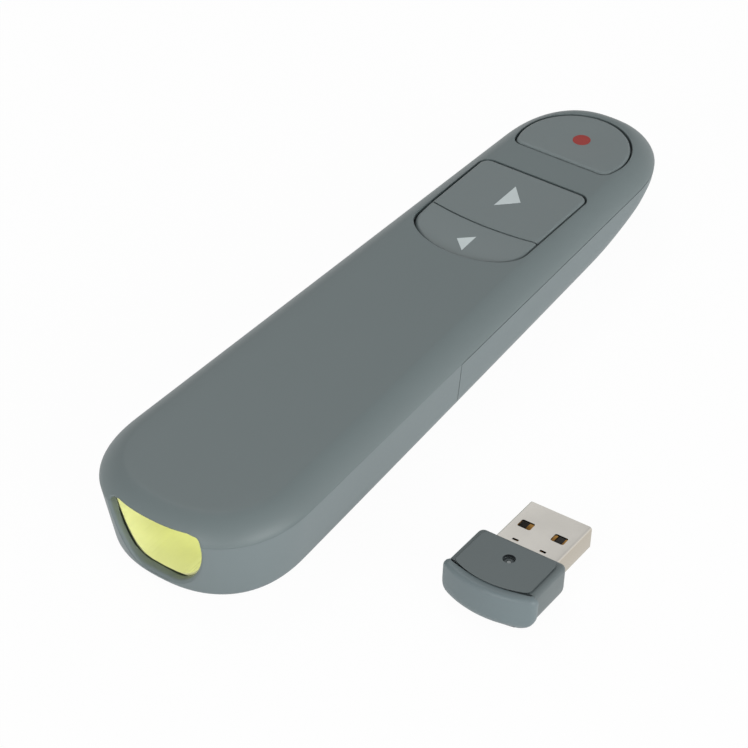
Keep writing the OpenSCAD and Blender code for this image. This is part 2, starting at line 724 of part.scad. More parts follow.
module coil() {
  count = coil_turns * coil_steps;
  rise = spring_len - spring_wire;
  function at(k) = let (a = 360 * k / coil_steps, r = mix(coil_r_wide, coil_r_small, k / count))
    [r * cos(a), r * sin(a), spring_wire / 2 + rise * k / count];
  function around(k, s) = let (a = 360 * k / coil_steps, b = 360 * s / coil_sides, w = spring_wire / 2)
    at(k) + [w * cos(b) * cos(a), w * cos(b) * sin(a), w * sin(b)];
  polyhedron(
    points = [for (k = [0 : count], s = [0 : coil_sides - 1]) around(k, s)],
    faces = concat(
      [[for (s = [0 : coil_sides - 1]) s]],
      [for (k = [0 : count - 1], s = [0 : coil_sides - 1], half = [0, 1])
        let (a = k * coil_sides + s, b = k * coil_sides + (s + 1) % coil_sides)
        half == 0 ? [a, a + coil_sides, b + coil_sides] : [a, b + coil_sides, b]],
      [[for (s = [coil_sides - 1 : -1 : 0]) count * coil_sides + s]]
    )
  );
}
module cell_springs() color([0.7, 0.71, 0.72]) {
  translate([-cell_x, compartment_y + plate_t, cell_z]) rotate([-90, 0, 0]) coil();
  translate([cell_x, compartment_y + compartment_len - plate_t, cell_z]) rotate([90, 0, 0]) coil();
}
plate_w = 8;
plate_h = 7;
dimple_r = 1.6;
module plate(x_low, x_high, y)
  translate([x_low, y, cell_z - plate_h / 2]) cube([x_high - x_low, plate_t, plate_h]);
module dimple(x, y)
  translate([x, y, cell_z]) rotate([-90, 0, 0]) cylinder(r = dimple_r, h = plate_t + dimple_h);
module contact_plates() color([0.78, 0.78, 0.76]) {
  nose_plate_y = compartment_y + compartment_len - plate_t;
  union() {
    plate(-cell_x - plate_w / 2, cell_x + plate_w / 2, compartment_y);
    dimple(cell_x, compartment_y);
  }
  plate(cell_x - plate_w / 2, cell_x + plate_w / 2, nose_plate_y);
  union() {
    plate(-cell_x - plate_w / 2, -cell_x + plate_w / 2, nose_plate_y);
    dimple(-cell_x, nose_plate_y - dimple_h);
  }
}

// Screws
module case_screws() color([0.6, 0.6, 0.62])
  at_places(case_screw_places) screw(screw_seat_z, case_screw_len, screw_head_r);
module board_screws() color([0.6, 0.6, 0.62])
  at_places(board_screw_places) screw(board_z - board_t, small_screw_len, small_head_r);
module tray_screws() color([0.6, 0.6, 0.62])
  at_places(tray_screw_places) screw(tray_tab_z, small_screw_len, small_head_r);

// Receiver: drawn level with its plug's tip at the origin, then leaned on its tip
cap_start = -plug_len;
cap_side_end = cap_start - cap_len;
cap_end = cap_side_end - cap_bulge;
cap_wall = 1.1;
lean = atan((cap_h - plug_h) / 2 / (plug_len + cap_low_r));
lift = max(plug_h / 2 * cos(lean),
  (cap_h / 2 - cap_low_r) * cos(lean) + cap_low_r - (plug_len + cap_low_r) * sin(lean));
module resting() translate([receiver_x, -receiver_back, lift]) rotate([-lean, 0, receiver_turn]) children();
function arc_r(half, bulge) = (half * half + bulge * bulge) / (2 * bulge);
bow_steps = 6;
corner_steps = 4;
function bowed_path(half, y_side, y_end, y_back, r) =
  let (big_r = arc_r(half, y_side - y_end), hub = y_end + big_r, reach = asin((half - r) / (big_r - r)),
       corner_y = hub - (big_r - r) * cos(reach))
  concat(
    [for (k = [0 : bow_steps]) let (a = reach * k / bow_steps) [big_r * sin(a), hub - big_r * cos(a)]],
    [for (k = [1 : corner_steps]) let (a = mix(reach, 90, k / corner_steps))
      [half - r + r * sin(a), corner_y - r * cos(a)]],
    [for (k = [0 : corner_steps]) let (a = 90 * k / corner_steps)
      [half - r + r * cos(a), y_back - r + r * sin(a)]],
    [[0, y_back]]
  );
module rounded_slab(path, half_h, low_r, top_r) {
  out = outward(path);
  loft(concat(
    [for (a = [90 : -22.5 : 0]) level(low_r * (1 - cos(a)), low_r * (1 - sin(a)) - half_h, path, out)],
    [for (a = [0 : 30 : 90]) level(top_r * (1 - cos(a)), half_h - top_r * (1 - sin(a)), path, out)]
  ));
}
cap_plan_r = 1.2;
cap_path = bowed_path(cap_w / 2, cap_side_end, cap_end, cap_start, cap_plan_r);
module cap_space(grow)
  translate([-cap_w / 2 + cap_wall - grow, cap_end - 1, -cap_h / 2 + cap_wall - grow])
    cube([cap_w - 2 * (cap_wall - grow), cap_len + cap_bulge - cap_wall + 1, cap_h - 2 * (cap_wall - grow)]);
panel_side_in = 1.75;
panel_front_in = 1.6;
panel_back_in = 0.5;
panel_r = 0.6;
panel_deep = 0.25;
led_in = 4.9;
led_y = cap_start - led_in;
led_ring_r = 1.1;
led_r = 0.4;
panel_path = bowed_path(cap_w / 2 - panel_side_in, cap_side_end + panel_back_in, cap_end + panel_back_in,
  cap_start - panel_front_in, panel_r);
module panel_cut() translate([0, 0, cap_h / 2 - panel_deep])
  linear_extrude(cap_h) polygon([for (p = level(0, 0, panel_path, outward(panel_path))) [p.x, p.y]]);
module receiver_cap() color([0.36, 0.39, 0.395]) resting() difference() {
  rounded_slab(cap_path, cap_h / 2, cap_low_r, cap_edge_r);
  cap_space(0);
  panel_cut();
  translate([-plug_w / 2 - screw_clear, cap_start - cap_wall - 1, -plug_h / 2 - screw_clear])
    cube([plug_w + 2 * screw_clear, cap_wall + 2, plug_h + 2 * screw_clear]);
  translate([0, led_y, cap_h / 2 - 2 * panel_deep]) cylinder(r = led_ring_r, h = 1);
  translate([0, led_y, 0]) cylinder(r = led_r + screw_clear, h = cap_h);
}
end_top_r = 1.2;
end_low_r = 3.2;
end_bow = 2.4;
end_foot_r = 2.3;
end_brow_r = 0.8;
bow_edge_steps = 5;
end_wrap = 0.6;
end_arc_r = arc_r(end_w / 2, end_bow);
cap_arc_r = arc_r(cap_w / 2, cap_bulge);
plug_in_len = 2.4;
module end_outline() hull() for (side = [-1, 1]) {
  translate([side * (end_w / 2 - end_top_r), end_h / 2 - end_top_r]) circle(r = end_top_r);
  translate([side * (end_w / 2 - end_low_r), end_low_r - end_h / 2]) circle(r = end_low_r);
}
module arc_disc(r, y_low) translate([0, y_low + r, -far / 2]) cylinder(r = r, h = far, $fn = 300);
module bow_disc(r, y_low) translate([0, y_low + r, 0]) rotate_extrude($fn = 300) polygon(concat(
  [[0, end_h], [0, -end_h], [r - end_foot_r, -end_h]],
  [for (k = [0 : bow_edge_steps]) let (a = 90 * k / bow_edge_steps)
    [r - end_foot_r * (1 - sin(a)), end_foot_r * (1 - cos(a)) - end_h / 2]],
  [for (k = [0 : bow_edge_steps]) let (a = 90 * k / bow_edge_steps)
    [r - end_brow_r * (1 - cos(a)), end_h / 2 - end_brow_r * (1 - sin(a))]],
  [[r - end_brow_r, end_h]]
));
module receiver_end() color([0.46, 0.5, 0.505]) resting() union() {
  difference() {
    intersection() {
      translate([0, cap_side_end + end_wrap, 0]) rotate([90, 0, 0])
        linear_extrude(receiver_len) end_outline();
      bow_disc(end_arc_r, -receiver_len);
    }
    intersection() {
      arc_disc(cap_arc_r, cap_end - screw_clear);
      translate([-cap_w / 2 - screw_clear, -far / 2, -far / 2]) cube([cap_w + 2 * screw_clear, far, far]);
    }
  }
  intersection() {
    cap_space(-plug_clear);
    arc_disc(end_arc_r - end_wrap, end_wrap - receiver_len);
    translate([-far / 2, cap_end - end_wrap, -far / 2]) cube([far, plug_in_len, far]);
  }
}
module receiver_lens() color([0.9, 0.92, 0.92]) resting()
  translate([0, led_y, cap_h / 2 - cap_wall]) cylinder(r = led_r, h = cap_wall - 2 * panel_deep + 0.1);
shell_in = 4.6;
hole_w = 2.5;
hole_in = 1.95;
hole_y = 5.1;
hole_len = 2;
notch_w = 1.15;
notch_in = 2.05;
notch_len = 0.5;
notch_gap = 1.3;
module usb_shell() color([0.8, 0.79, 0.76]) resting() difference() {
  translate([-plug_w / 2, cap_start - shell_in, -plug_h / 2]) cube([plug_w, plug_len + shell_in, plug_h]);
  translate([-plug_w / 2 + plug_sheet, cap_start - shell_in - 1, -plug_h / 2 + plug_sheet])
    cube([plug_w - 2 * plug_sheet, plug_len + shell_in + 2, plug_h - 2 * plug_sheet]);
  for (side = [0, 1]) mirror([side, 0, 0]) {
    translate([hole_in, -hole_y - hole_len, -plug_h]) cube([hole_w, hole_len, 2 * plug_h]);
    translate([notch_in, cap_start + notch_gap, 0]) cube([notch_w, notch_len, plug_h]);
  }
}
tongue_h = 1.9;
tongue_clear = 0.05;
tongue_in = 0.4;
tongue_low = -plug_h / 2 + plug_sheet + tongue_clear;
contact_w = 1;
contact_t = 0.2;
contact_len = 7.6;
contact_set_in = 1.2;
contact_pitch = [1, 3.5];
module usb_tongue() color([0.12, 0.12, 0.13]) resting()
  translate([-plug_w / 2 + plug_sheet + tongue_clear, cap_start - shell_in + 1, tongue_low])
    cube([plug_w - 2 * (plug_sheet + tongue_clear), plug_len + shell_in - 1 - tongue_in, tongue_h]);
module usb_contacts() color([0.72, 0.53, 0.3]) resting()
  for (x = contact_pitch, side = [-1, 1])
    translate([side * x - contact_w / 2, -contact_set_in - contact_len, tongue_low + tongue_h])
      cube([contact_w, contact_len, contact_t]);
receiver_board_t = 0.8;
receiver_board_half_w = 5.2;
receiver_board_y = cap_end + plug_in_len + 0.2;
receiver_board_end_y = cap_start - shell_in + 0.9;
module receiver_board() color([0.1, 0.35, 0.2]) resting()
  translate([-receiver_board_half_w, receiver_board_y, tongue_low + tongue_h - receiver_board_t])
    cube([2 * receiver_board_half_w, receiver_board_end_y - receiver_board_y, receiver_board_t]);

top_shell();
bottom_shell();
battery_door();
receiver_bay();
laser_button();
next_button();
previous_button();
laser_plunger();
next_plunger();
previous_plunger();
tact_switches();
main_board();
radio_module();
controller_chip();
crystal();
slide_switch();
power_slider();
laser_barrel();
laser_lens();
laser_window();
battery_tray();
left_cell();
right_cell();
cell_springs();
contact_plates();
case_screws();
board_screws();
tray_screws();
receiver_cap();
receiver_end();
receiver_lens();
receiver_board();
usb_shell();
usb_tongue();
usb_contacts();
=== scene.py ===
from math import asin, atan, atan2, cos, degrees, pi, radians, sin, sqrt
import bpy
from mathutils import Matrix, Vector


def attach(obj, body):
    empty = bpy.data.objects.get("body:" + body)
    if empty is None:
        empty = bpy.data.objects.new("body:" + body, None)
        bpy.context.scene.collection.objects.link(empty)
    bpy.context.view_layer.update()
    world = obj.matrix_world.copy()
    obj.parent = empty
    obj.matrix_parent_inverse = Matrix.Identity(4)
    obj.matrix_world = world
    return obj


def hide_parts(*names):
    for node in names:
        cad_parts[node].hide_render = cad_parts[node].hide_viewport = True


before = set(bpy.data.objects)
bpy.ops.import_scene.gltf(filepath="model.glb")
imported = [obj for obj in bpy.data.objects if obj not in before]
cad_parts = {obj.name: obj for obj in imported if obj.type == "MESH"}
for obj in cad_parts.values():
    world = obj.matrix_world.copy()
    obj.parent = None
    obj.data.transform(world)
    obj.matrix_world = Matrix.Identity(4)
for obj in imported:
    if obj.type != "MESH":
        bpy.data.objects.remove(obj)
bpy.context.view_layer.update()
mm = 0.001  # every size below is in millimetres, +Y runs from the tail to the nose

# the handset's outline and section
handset = {
    "length": 145.0, "tailWidth": 39.2, "noseWidth": 30.1, "tailRound": 19.3, "noseRound": 18.2,
    "endPower": 2.3, "partingHeight": 12.6, "crownHeight": 4.0, "crownEdge": 4.6, "crownPower": 1.5,
    "leanTail": 1.9, "leanNose": 0.5, "edgeTail": 1.1, "edgeNose": 9.5, "noseRise": 8.5, "riseLength": 33.0,
    "wall": 1.6, "frontGap": 0.2, "doorGap": 0.15, "doorLength": 64.5, "keyGap": 0.35, "keyProud": 0.15,
}


# small helpers
def deselect():
    if bpy.context.object and bpy.context.object.mode != "OBJECT":
        bpy.ops.object.mode_set(mode="OBJECT")
    bpy.ops.object.select_all(action="DESELECT")


def pick(*pieces):
    deselect()
    for piece in pieces:
        piece.select_set(True)
    bpy.context.view_layer.objects.active = pieces[0]


def settle(piece):
    # place and size go into the mesh, the object stays at the origin
    pick(piece)
    bpy.ops.object.transform_apply(location=True, rotation=True, scale=True)
    return piece


def closeUp(piece, closed=True):
    # doubles merged, open ends closed, faces outwards
    pick(piece)
    bpy.ops.object.mode_set(mode="EDIT")
    bpy.ops.mesh.select_all(action="SELECT")
    bpy.ops.mesh.remove_doubles(threshold=0.002 * mm)
    bpy.ops.mesh.dissolve_degenerate(threshold=0.001 * mm)
    if closed:
        bpy.ops.mesh.select_all(action="SELECT")
        bpy.ops.mesh.fill_holes(sides=0)
    bpy.ops.mesh.select_all(action="SELECT")
    bpy.ops.mesh.normals_make_consistent(inside=False)
    bpy.ops.object.mode_set(mode="OBJECT")
    return piece


def skinOver(name, rings, closed=True):
    # a grid whose rows are laid on closed rings of points
    around, across = len(rings[0]), len(rings) - 1
    deselect()
    bpy.ops.mesh.primitive_grid_add(x_subdivisions=around, y_subdivisions=across, size=2)
    piece = bpy.context.object
    piece.name = piece.data.name = name
    for corner in piece.data.vertices:
        i = round((corner.co.x + 1) / 2 * around) % around
        j = round((corner.co.y + 1) / 2 * across)
        corner.co = Vector(rings[j][i]) * mm
    return closeUp(piece, closed)


def boxPiece(name, low, high):
    deselect()
    middle = [(a + b) / 2 * mm for a, b in zip(low, high)]
    bpy.ops.mesh.primitive_cube_add(size=1, location=middle)
    piece = bpy.context.object
    piece.name = piece.data.name = name
    piece.scale = [(b - a) * mm for a, b in zip(low, high)]
    return settle(piece)


def rodPiece(name, radius, start, end, sides=48):
    # a round bar from start to end, both along one axis
    deselect()
    run = Vector(end) - Vector(start)
    bpy.ops.mesh.primitive_cylinder_add(
        vertices=sides, radius=radius * mm, depth=run.length * mm,
        location=(Vector(start) + Vector(end)) / 2 * mm,
        rotation=Vector((0, 0, 1)).rotation_difference(run).to_euler())
    piece = bpy.context.object
    piece.name = piece.data.name = name
    return settle(piece)


def carve(piece, tool, how="DIFFERENCE", keep=False):
    step = piece.modifiers.new("carve", "BOOLEAN")
    step.operation, step.solver, step.object = how, "EXACT", tool
    pick(piece)
    bpy.ops.object.modifier_apply(modifier=step.name)
    if not keep:
        bpy.data.objects.remove(tool)
    return piece


def joined(*pieces):
    pick(*pieces)
    bpy.ops.object.join()
    return pieces[0]


def copied(piece, name):
    pick(piece)
    bpy.ops.object.duplicate()
    twin = bpy.context.object
    twin.name = twin.data.name = name
    return twin


def smooth(piece, angle=32):
    pick(piece)
    bpy.ops.object.shade_smooth_by_angle(angle=radians(angle))
    return piece


def dress(piece, finish):
    piece.data.materials.clear()
    piece.data.materials.append(finish)
    for face in piece.data.polygons:
        face.material_index = 0
    return piece


def mix(a, b, t):
    return a + (b - a) * t


# materials
class Wire:
    # one socket, with arithmetic that adds Math nodes
    def __init__(self, finish, socket):
        self.finish, self.socket = finish, socket

    def sum(self, how, first, second):
        made = self.finish.add("ShaderNodeMath", {"operation": how}, {0: first, 1: second})
        return Wire(self.finish, made.outputs[0])

    def __add__(self, other): return self.sum("ADD", self, other)
    def __radd__(self, other): return self.sum("ADD", other, self)
    def __sub__(self, other): return self.sum("SUBTRACT", self, other)
    def __rsub__(self, other): return self.sum("SUBTRACT", other, self)
    def __mul__(self, other): return self.sum("MULTIPLY", self, other)
    def __rmul__(self, other): return self.sum("MULTIPLY", other, self)
    def __truediv__(self, other): return self.sum("DIVIDE", self, other)
    def __pow__(self, other): return self.sum("POWER", self, other)
    def atLeast(self, other): return self.sum("MAXIMUM", self, other)
    def atMost(self, other): return self.sum("MINIMUM", self, other)
    def above(self, other): return self.sum("GREATER_THAN", self, other)


class Finish:
    def __init__(self, name):
        self.material = bpy.data.materials.new(name)
        self.material.use_nodes = True
        self.tree = self.material.node_tree
        self.tree.nodes.clear()
        self.end = self.add("ShaderNodeOutputMaterial")
        self.shader = None

    def add(self, kind, settings=None, sockets=None):
        made = self.tree.nodes.new(kind)
        for key, value in (settings or {}).items():
            if key == "stops":
                ramp = made.color_ramp
                while len(ramp.elements) < len(value):
                    ramp.elements.new(0.5)
                for stop, (place, shade) in zip(ramp.elements, value):
                    stop.position, stop.color = place, shade
            else:
                setattr(made, key, value)
        for key, value in (sockets or {}).items():
            self.feed(made.inputs[key], value)
        return made

    def feed(self, socket, value):
        if isinstance(value, Wire):
            value = value.socket
        if isinstance(value, bpy.types.NodeSocket):
            self.tree.links.new(value, socket)
        else:
            socket.default_value = value

    def wire(self, made, output=0):
        return Wire(self, made.outputs[output])

    def place(self, scale=(1, 1, 1), turn=(0, 0, 0)):
        where = self.add("ShaderNodeTexCoord")
        return self.add("ShaderNodeMapping", None,
                        {"Vector": where.outputs["Object"], "Scale": scale, "Rotation": turn}).outputs[0]

    def along(self, vector, way):
        made = self.add("ShaderNodeVectorMath", {"operation": "DOT_PRODUCT"}, {0: vector, 1: way})
        return self.wire(made, "Value")

    def noise(self, scale, detail=2.0, roughness=0.5, stretch=(1, 1, 1)):
        made = self.add("ShaderNodeTexNoise", {"noise_dimensions": "3D"}, {
            "Vector": self.place(stretch), "Scale": scale, "Detail": detail, "Roughness": roughness})
        return self.wire(made, "Fac" if "Fac" in made.outputs else 0)

    def blendColours(self, amount, first, second):
        made = self.add("ShaderNodeMix", {"data_type": "RGBA", "blend_type": "MIX"},
                        {"Factor": amount, 6: first, 7: second})
        return made.outputs[2]

    def principled(self, sockets):
        self.shader = self.add("ShaderNodeBsdfPrincipled", None, sockets)
        self.feed(self.end.inputs["Surface"], self.shader.outputs[0])
        return self.material


def tint(red, green, blue):
    # display colour 0-255 to linear
    def channel(c):
        c = c / 255
        return c / 12.92 if c <= 0.04045 else ((c + 0.055) / 1.055) ** 2.4
    return (channel(red), channel(green), channel(blue), 1.0)


def matteShell(name, colour, rough=0.5, grain=1.0, soften=0.25, specular=0.4, recess=None):
    # fine spark-eroded plastic: slow drift of tone, fine grain, softened edges
    f = Finish(name)
    drift = f.noise(90, 3)
    fine = f.noise(5200, 2, 0.6)
    speck = f.noise(1700, 3, 0.6)
    shade = (drift - 0.5) * 0.10 + (speck - 0.5) * 0.10 + 0.5
    low = tuple(c * 0.86 for c in colour[:3]) + (1.0,)
    high = tuple(min(1, c * 1.14) for c in colour[:3]) + (1.0,)
    rounded = f.add("ShaderNodeBevel", {"samples": 4}, {"Radius": soften * mm})
    flat = f.add("ShaderNodeNewGeometry")
    height = f.wire(f.add("ShaderNodeSeparateXYZ", None, {0: f.place()}), "Z") / mm - handset["partingHeight"]
    away = (height * height).above(0.5 * 0.5)
    facing = f.add("ShaderNodeMix", {"data_type": "VECTOR"},
                   {0: away, 4: flat.outputs["Normal"], 5: rounded.outputs[0]})
    bump = f.add("ShaderNodeBump", None, {
        "Height": fine * 0.7 + speck * 0.3, "Strength": 0.10 * grain, "Distance": 0.03 * mm,
        "Normal": facing.outputs[1]})
    tone = f.blendColours(shade, low, high)
    if recess:
        # a darker floor, below one height along one way and facing that way
        height = f.along(f.place(), recess["way"]) / mm
        level = f.along(flat.outputs["Normal"], recess["way"]).above(0.97)
        tone = f.blendColours((1 - height.above(recess["top"])) * level, tone, recess["colour"])
    return f.principled({
        "Base Color": tone, "Roughness": (speck - 0.5) * 0.12 + rough,
        "Specular IOR Level": specular, "Normal": bump.outputs[0]})


def softPlastic(name, colour, rough=0.4, specular=0.5, coat=0.0, glow=0.0):
    f = Finish(name)
    drift = f.noise(220, 3)
    fine = f.noise(2600, 2)
    low = tuple(c * 0.88 for c in colour[:3]) + (1.0,)
    high = tuple(min(1, c * 1.1) for c in colour[:3]) + (1.0,)
    bump = f.add("ShaderNodeBump", None, {"Height": fine, "Strength": 0.05, "Distance": 0.02 * mm})
    return f.principled({
        "Base Color": f.blendColours(drift, low, high), "Roughness": (drift - 0.5) * 0.1 + rough,
        "Specular IOR Level": specular, "Coat Weight": coat, "Coat Roughness": 0.1,
        # glow above zero makes the piece give off its own colour as painted light
        "Emission Color": colour, "Emission Strength": glow, "Normal": bump.outputs[0]})


def workedMetal(name, colour, rough=0.3, stretch=(1, 1, 1), streak=0.12, scale=900,
                paintedSideShade=None):
    f = Finish(name)
    lines = f.noise(scale, 3, 0.6, stretch)
    drift = f.noise(160, 3)
    low = tuple(c * 0.85 for c in colour[:3]) + (1.0,)
    bump = f.add("ShaderNodeBump", None, {"Height": lines, "Strength": 0.06, "Distance": 0.01 * mm})
    tone = f.blendColours((lines - 0.5) * 0.5 + (drift - 0.5) * 0.6 + 0.6, low, colour)
    # faces turned sideways get the darker colour: painted shade by how the surface faces
    if paintedSideShade:
        upright = f.along(f.wire(f.add("ShaderNodeNewGeometry"), "Normal").socket, (0, 0, 1))
        tone = f.blendColours((1 - upright * upright) ** 1.5, tone, paintedSideShade)
    return f.principled({
        "Base Color": tone,
        "Metallic": 1.0, "Roughness": (lines - 0.5) * streak + (drift - 0.5) * 0.1 + rough,
        "Normal": bump.outputs[0]})


def boardGreen(name):
    f = Finish(name)
    where = f.place((1, 1, 1))
    tracks = f.wire(f.add("ShaderNodeTexVoronoi", {"distance": "MANHATTAN", "feature": "DISTANCE_TO_EDGE"},
                          {"Vector": where, "Scale": 700.0}), "Distance")
    copper = tracks.above(0.18)
    drift = f.noise(200, 2)
    bump = f.add("ShaderNodeBump", None, {"Height": copper, "Strength": 0.2, "Distance": 0.03 * mm})
    return f.principled({
        "Base Color": f.blendColours(copper * 0.7 + drift * 0.2, tint(14, 62, 38), tint(32, 104, 62)),
        "Roughness": drift * 0.1 + 0.3, "Normal": bump.outputs[0]})


print("materials")
grey = {"shell": (104, 115, 116), "lower": (108, 119, 121), "key": (110, 120, 121), "cap": (96, 105, 106),
        "panel": (84, 90, 94), "end": (106, 118, 121)}
shellGrey = matteShell("shellGrey", tint(*grey["shell"]), 0.46)
lowerGrey = matteShell("lowerGrey", tint(*grey["lower"]), 0.46)
keyGrey = matteShell("keyGrey", tint(*grey["key"]), 0.42)
endGrey = matteShell("endGrey", tint(*grey["end"]), 0.42, soften=0.15)
# the liner's emission (glow 0.13) is a painted glow that brightens the shaded inside of the bay
limeGlossPaintedGlow = softPlastic("limeGlossPaintedGlow", tint(236, 238, 178), 0.2, 0.5, 0.8, 0.13)
printWhite = softPlastic("printWhite", tint(196, 206, 207), 0.5)
printRed = softPlastic("printRed", tint(150, 52, 48), 0.6, 0.3)
blackPlastic = softPlastic("blackPlastic", tint(28, 28, 30), 0.42)
switchGrey = softPlastic("switchGrey", tint(52, 52, 55), 0.5)
trayBlack = softPlastic("trayBlack", tint(40, 42, 44), 0.55)
windowRed = softPlastic("windowRed", tint(58, 18, 18), 0.12, 0.6, 0.6)
lensClear = softPlastic("lensClear", tint(205, 215, 222), 0.08, 0.6, 0.8)
lightPipe = softPlastic("lightPipe", tint(176, 182, 182), 0.25, 0.6, 0.3)
boardFinish = boardGreen("boardFinish")
tinned = workedMetal("tinned", tint(196, 198, 202), 0.34)
brassTurned = workedMetal("brassTurned", tint(196, 160, 92), 0.28, (1, 30, 1))
springWire = workedMetal("springWire", tint(186, 188, 190), 0.26)
screwSteel = workedMetal("screwSteel", tint(150, 152, 156), 0.34)
# the plug's sides are painted darker than its top: painted shade
plugSteel = workedMetal("plugSteel", tint(250, 246, 238), 0.24, (1, 14, 1), 0.06,
                        paintedSideShade=tint(186, 178, 164))
contactGold = workedMetal("contactGold", tint(186, 142, 78), 0.3)
cellGreen = softPlastic("cellGreen", tint(74, 128, 84), 0.3, 0.5, 0.3)

nodeFinish = {
    "receiver_bay": limeGlossPaintedGlow, "laser_plunger": blackPlastic, "next_plunger": blackPlastic,
    "previous_plunger": blackPlastic, "tact_switches": switchGrey, "main_board": boardFinish,
    "radio_module": tinned, "controller_chip": blackPlastic, "crystal": tinned, "slide_switch": tinned,
    "power_slider": switchGrey, "laser_barrel": brassTurned, "laser_lens": lensClear,
    "laser_window": windowRed, "battery_tray": trayBlack, "left_cell": cellGreen, "right_cell": cellGreen,
    "cell_springs": springWire, "contact_plates": tinned, "case_screws": screwSteel,
    "board_screws": screwSteel, "tray_screws": screwSteel, "receiver_lens": lightPipe,
    "receiver_board": boardFinish, "usb_tongue": blackPlastic, "usb_contacts": contactGold,
}
for node, finish in nodeFinish.items():
    dress(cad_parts[node], finish)


# handset outline
tailY, noseY = -handset["length"] / 2, handset["length"] / 2
partingZ = handset["partingHeight"]
crownZ = partingZ + handset["crownHeight"]
doorY = tailY + handset["doorLength"]


def sideX(y):
    return mix(handset["tailWidth"], handset["noseWidth"], (y - tailY) / handset["length"]) / 2


def halfOutline(endSteps=26, sideSteps=34):
    power = 2 / handset["endPower"]
    tail, nose = handset["tailRound"], handset["noseRound"]
    tailPart, nosePart = [], []
    for i in range(endSteps + 1):
        a = pi / 2 * i / endSteps
        drop = 1 - max(cos(a), 0) ** power
        for part, y in ((tailPart, tailY + tail * drop), (nosePart, noseY - nose * drop)):
            part.append((sideX(y) * sin(a) ** power, y))
    sidePart = []
    for i in range(1, sideSteps):
        y = mix(tailY + tail, noseY - nose, i / sideSteps)
        sidePart.append((sideX(y), y))
    return tailPart + sidePart + nosePart[::-1]


def fullLoop(half):
    return half + [(-x, y) for x, y in half[-2:0:-1]]


def outwardOf(loop):
    ways = []
    for i in range(len(loop)):
        (ax, ay), (bx, by) = loop[i - 1], loop[(i + 1) % len(loop)]
        run = max(sqrt((bx - ax) ** 2 + (by - ay) ** 2), 1e-9)
        ways.append(((by - ay) / run, (ax - bx) / run))
    return ways


outline = fullLoop(halfOutline())
outlineWays = outwardOf(outline)


def ringOf(inset, height, loop=outline, ways=outlineWays):
    # inset and height are numbers, or functions of a point's index
    made = []
    for i, ((x, y), (nx, ny)) in enumerate(zip(loop, ways)):
        d = inset(i) if callable(inset) else inset
        made.append((x - nx * d, y - ny * d, height(i) if callable(height) else height))
    return made


def toSpine(ring, steps=(0.2, 0.45, 0.75, 1.0)):
    return [[(x * (1 - t), y, z) for x, y, z in ring] for t in steps]


def lowZ(y):
    return handset["noseRise"] * max(0, 1 - (noseY - y) / handset["riseLength"]) ** 2


def lowerRings(off, top, steps=10):
    def base(i): return lowZ(outline[i][1]) + off
    def share(i): return (outline[i][1] - tailY) / handset["length"]
    def radius(i): return max(mix(handset["edgeTail"], handset["edgeNose"], share(i)) - off, 0.4)
    def rise(i): return min(radius(i), 0.9 * (partingZ - base(i)))
    def lean(i, z):
        return mix(handset["leanTail"], handset["leanNose"], share(i)) * (partingZ - z) / (partingZ - base(i))
    rings = []
    for k in range(steps + 1):
        a = pi / 2 * (1 - k / steps)
        def height(i, a=a): return base(i) + rise(i) * (1 - sin(a))
        rings.append(ringOf(lambda i, a=a, h=height: off + lean(i, h(i)) + radius(i) * (1 - cos(a)), height))
    last = [rise(i) + base(i) for i in range(len(outline))]
    for t in (0.35, 0.7, 1.0):
        def height(i, t=t): return mix(last[i], min(top, partingZ), t)
        rings.append(ringOf(lambda i, h=height: off + lean(i, h(i)), height))
    if top > partingZ:
        rings.append(ringOf(off, top))
    return toSpine(rings[0])[::-1] + rings


def crownRings(off, steps=14):
    edge, height, power = handset["crownEdge"] - off, handset["crownHeight"] - off, 2 / handset["crownPower"]
    rings = [ringOf(off, partingZ - 1)] if off else []
    for k in range(steps + 1):
        a = pi / 2 * k / steps
        rings.append(ringOf(off + edge * (1 - max(cos(a), 0) ** power), partingZ + height * sin(a) ** power))
    return rings + toSpine(rings[-1])


def blockOver(name, loop, low, high):
    # upright block over a flat outline
    return skinOver(name, [[(x, y, z) for x, y in loop] for z in (low, high)])


# tail mouth
# a D lying on its round side: small upper corners, wide lower ones
mouth = {
    "width": 18.8, "height": 11.95, "floor": 1.85, "corner": 1.4, "lowWide": 6.6, "lowTall": 10.4,
    "deep": 7.0, "flare": 0.55, "flareDeep": 0.75, "lip": 1.3, "relief": 1.1,
}


def mouthLoop(grow, steps=12):
    half, top = mouth["width"] / 2, mouth["floor"] + mouth["height"]
    r, wide, tall = mouth["corner"], mouth["lowWide"], mouth["lowTall"]
    middle, points = mouth["floor"] + tall, []
    for cx, cz, rx, rz, start in (
            (half - wide, middle, wide, tall, -90), (half - r, top - r, r, r, 0),
            (r - half, top - r, r, r, 90), (wide - half, middle, wide, tall, 180)):
        for k in range(steps + 1):
            a = radians(start + 90 * k / steps)
            points.append((cx + (rx + grow) * cos(a), cz + (rz + grow) * sin(a)))
    return points


def tailFace(x, z):
    # y of the tail's outer face at one point
    rise = min(max(0, z - partingZ) / handset["crownHeight"], 0.999)
    power = handset["crownPower"]
    inset = handset["crownEdge"] * (1 - (1 - rise ** power) ** (1 / power))
    inset += handset["leanTail"] * max(0, 1 - z / partingZ)
    wide, deep, power = sideX(tailY) - inset, handset["tailRound"] - inset, handset["endPower"]
    return tailY + inset + deep * (1 - (1 - min(abs(x) / wide, 0.999) ** power) ** (1 / power))


def mouthTool(name):
    # follows the tail's face, so that the opening's edge is rounded all along
    rings = []
    for depth in (-6, 0, 0.06, 0.15, 0.3, 0.5, mouth["flareDeep"]):
        grow = mouth["flare"] * (1 - min(1, max(0, depth) / mouth["flareDeep"])) ** 2
        rings.append([(x, tailFace(x, z) + depth, z) for x, z in mouthLoop(grow)])
    return skinOver(name, rings + [[(x, tailY + mouth["deep"], z) for x, z in mouthLoop(0)]])


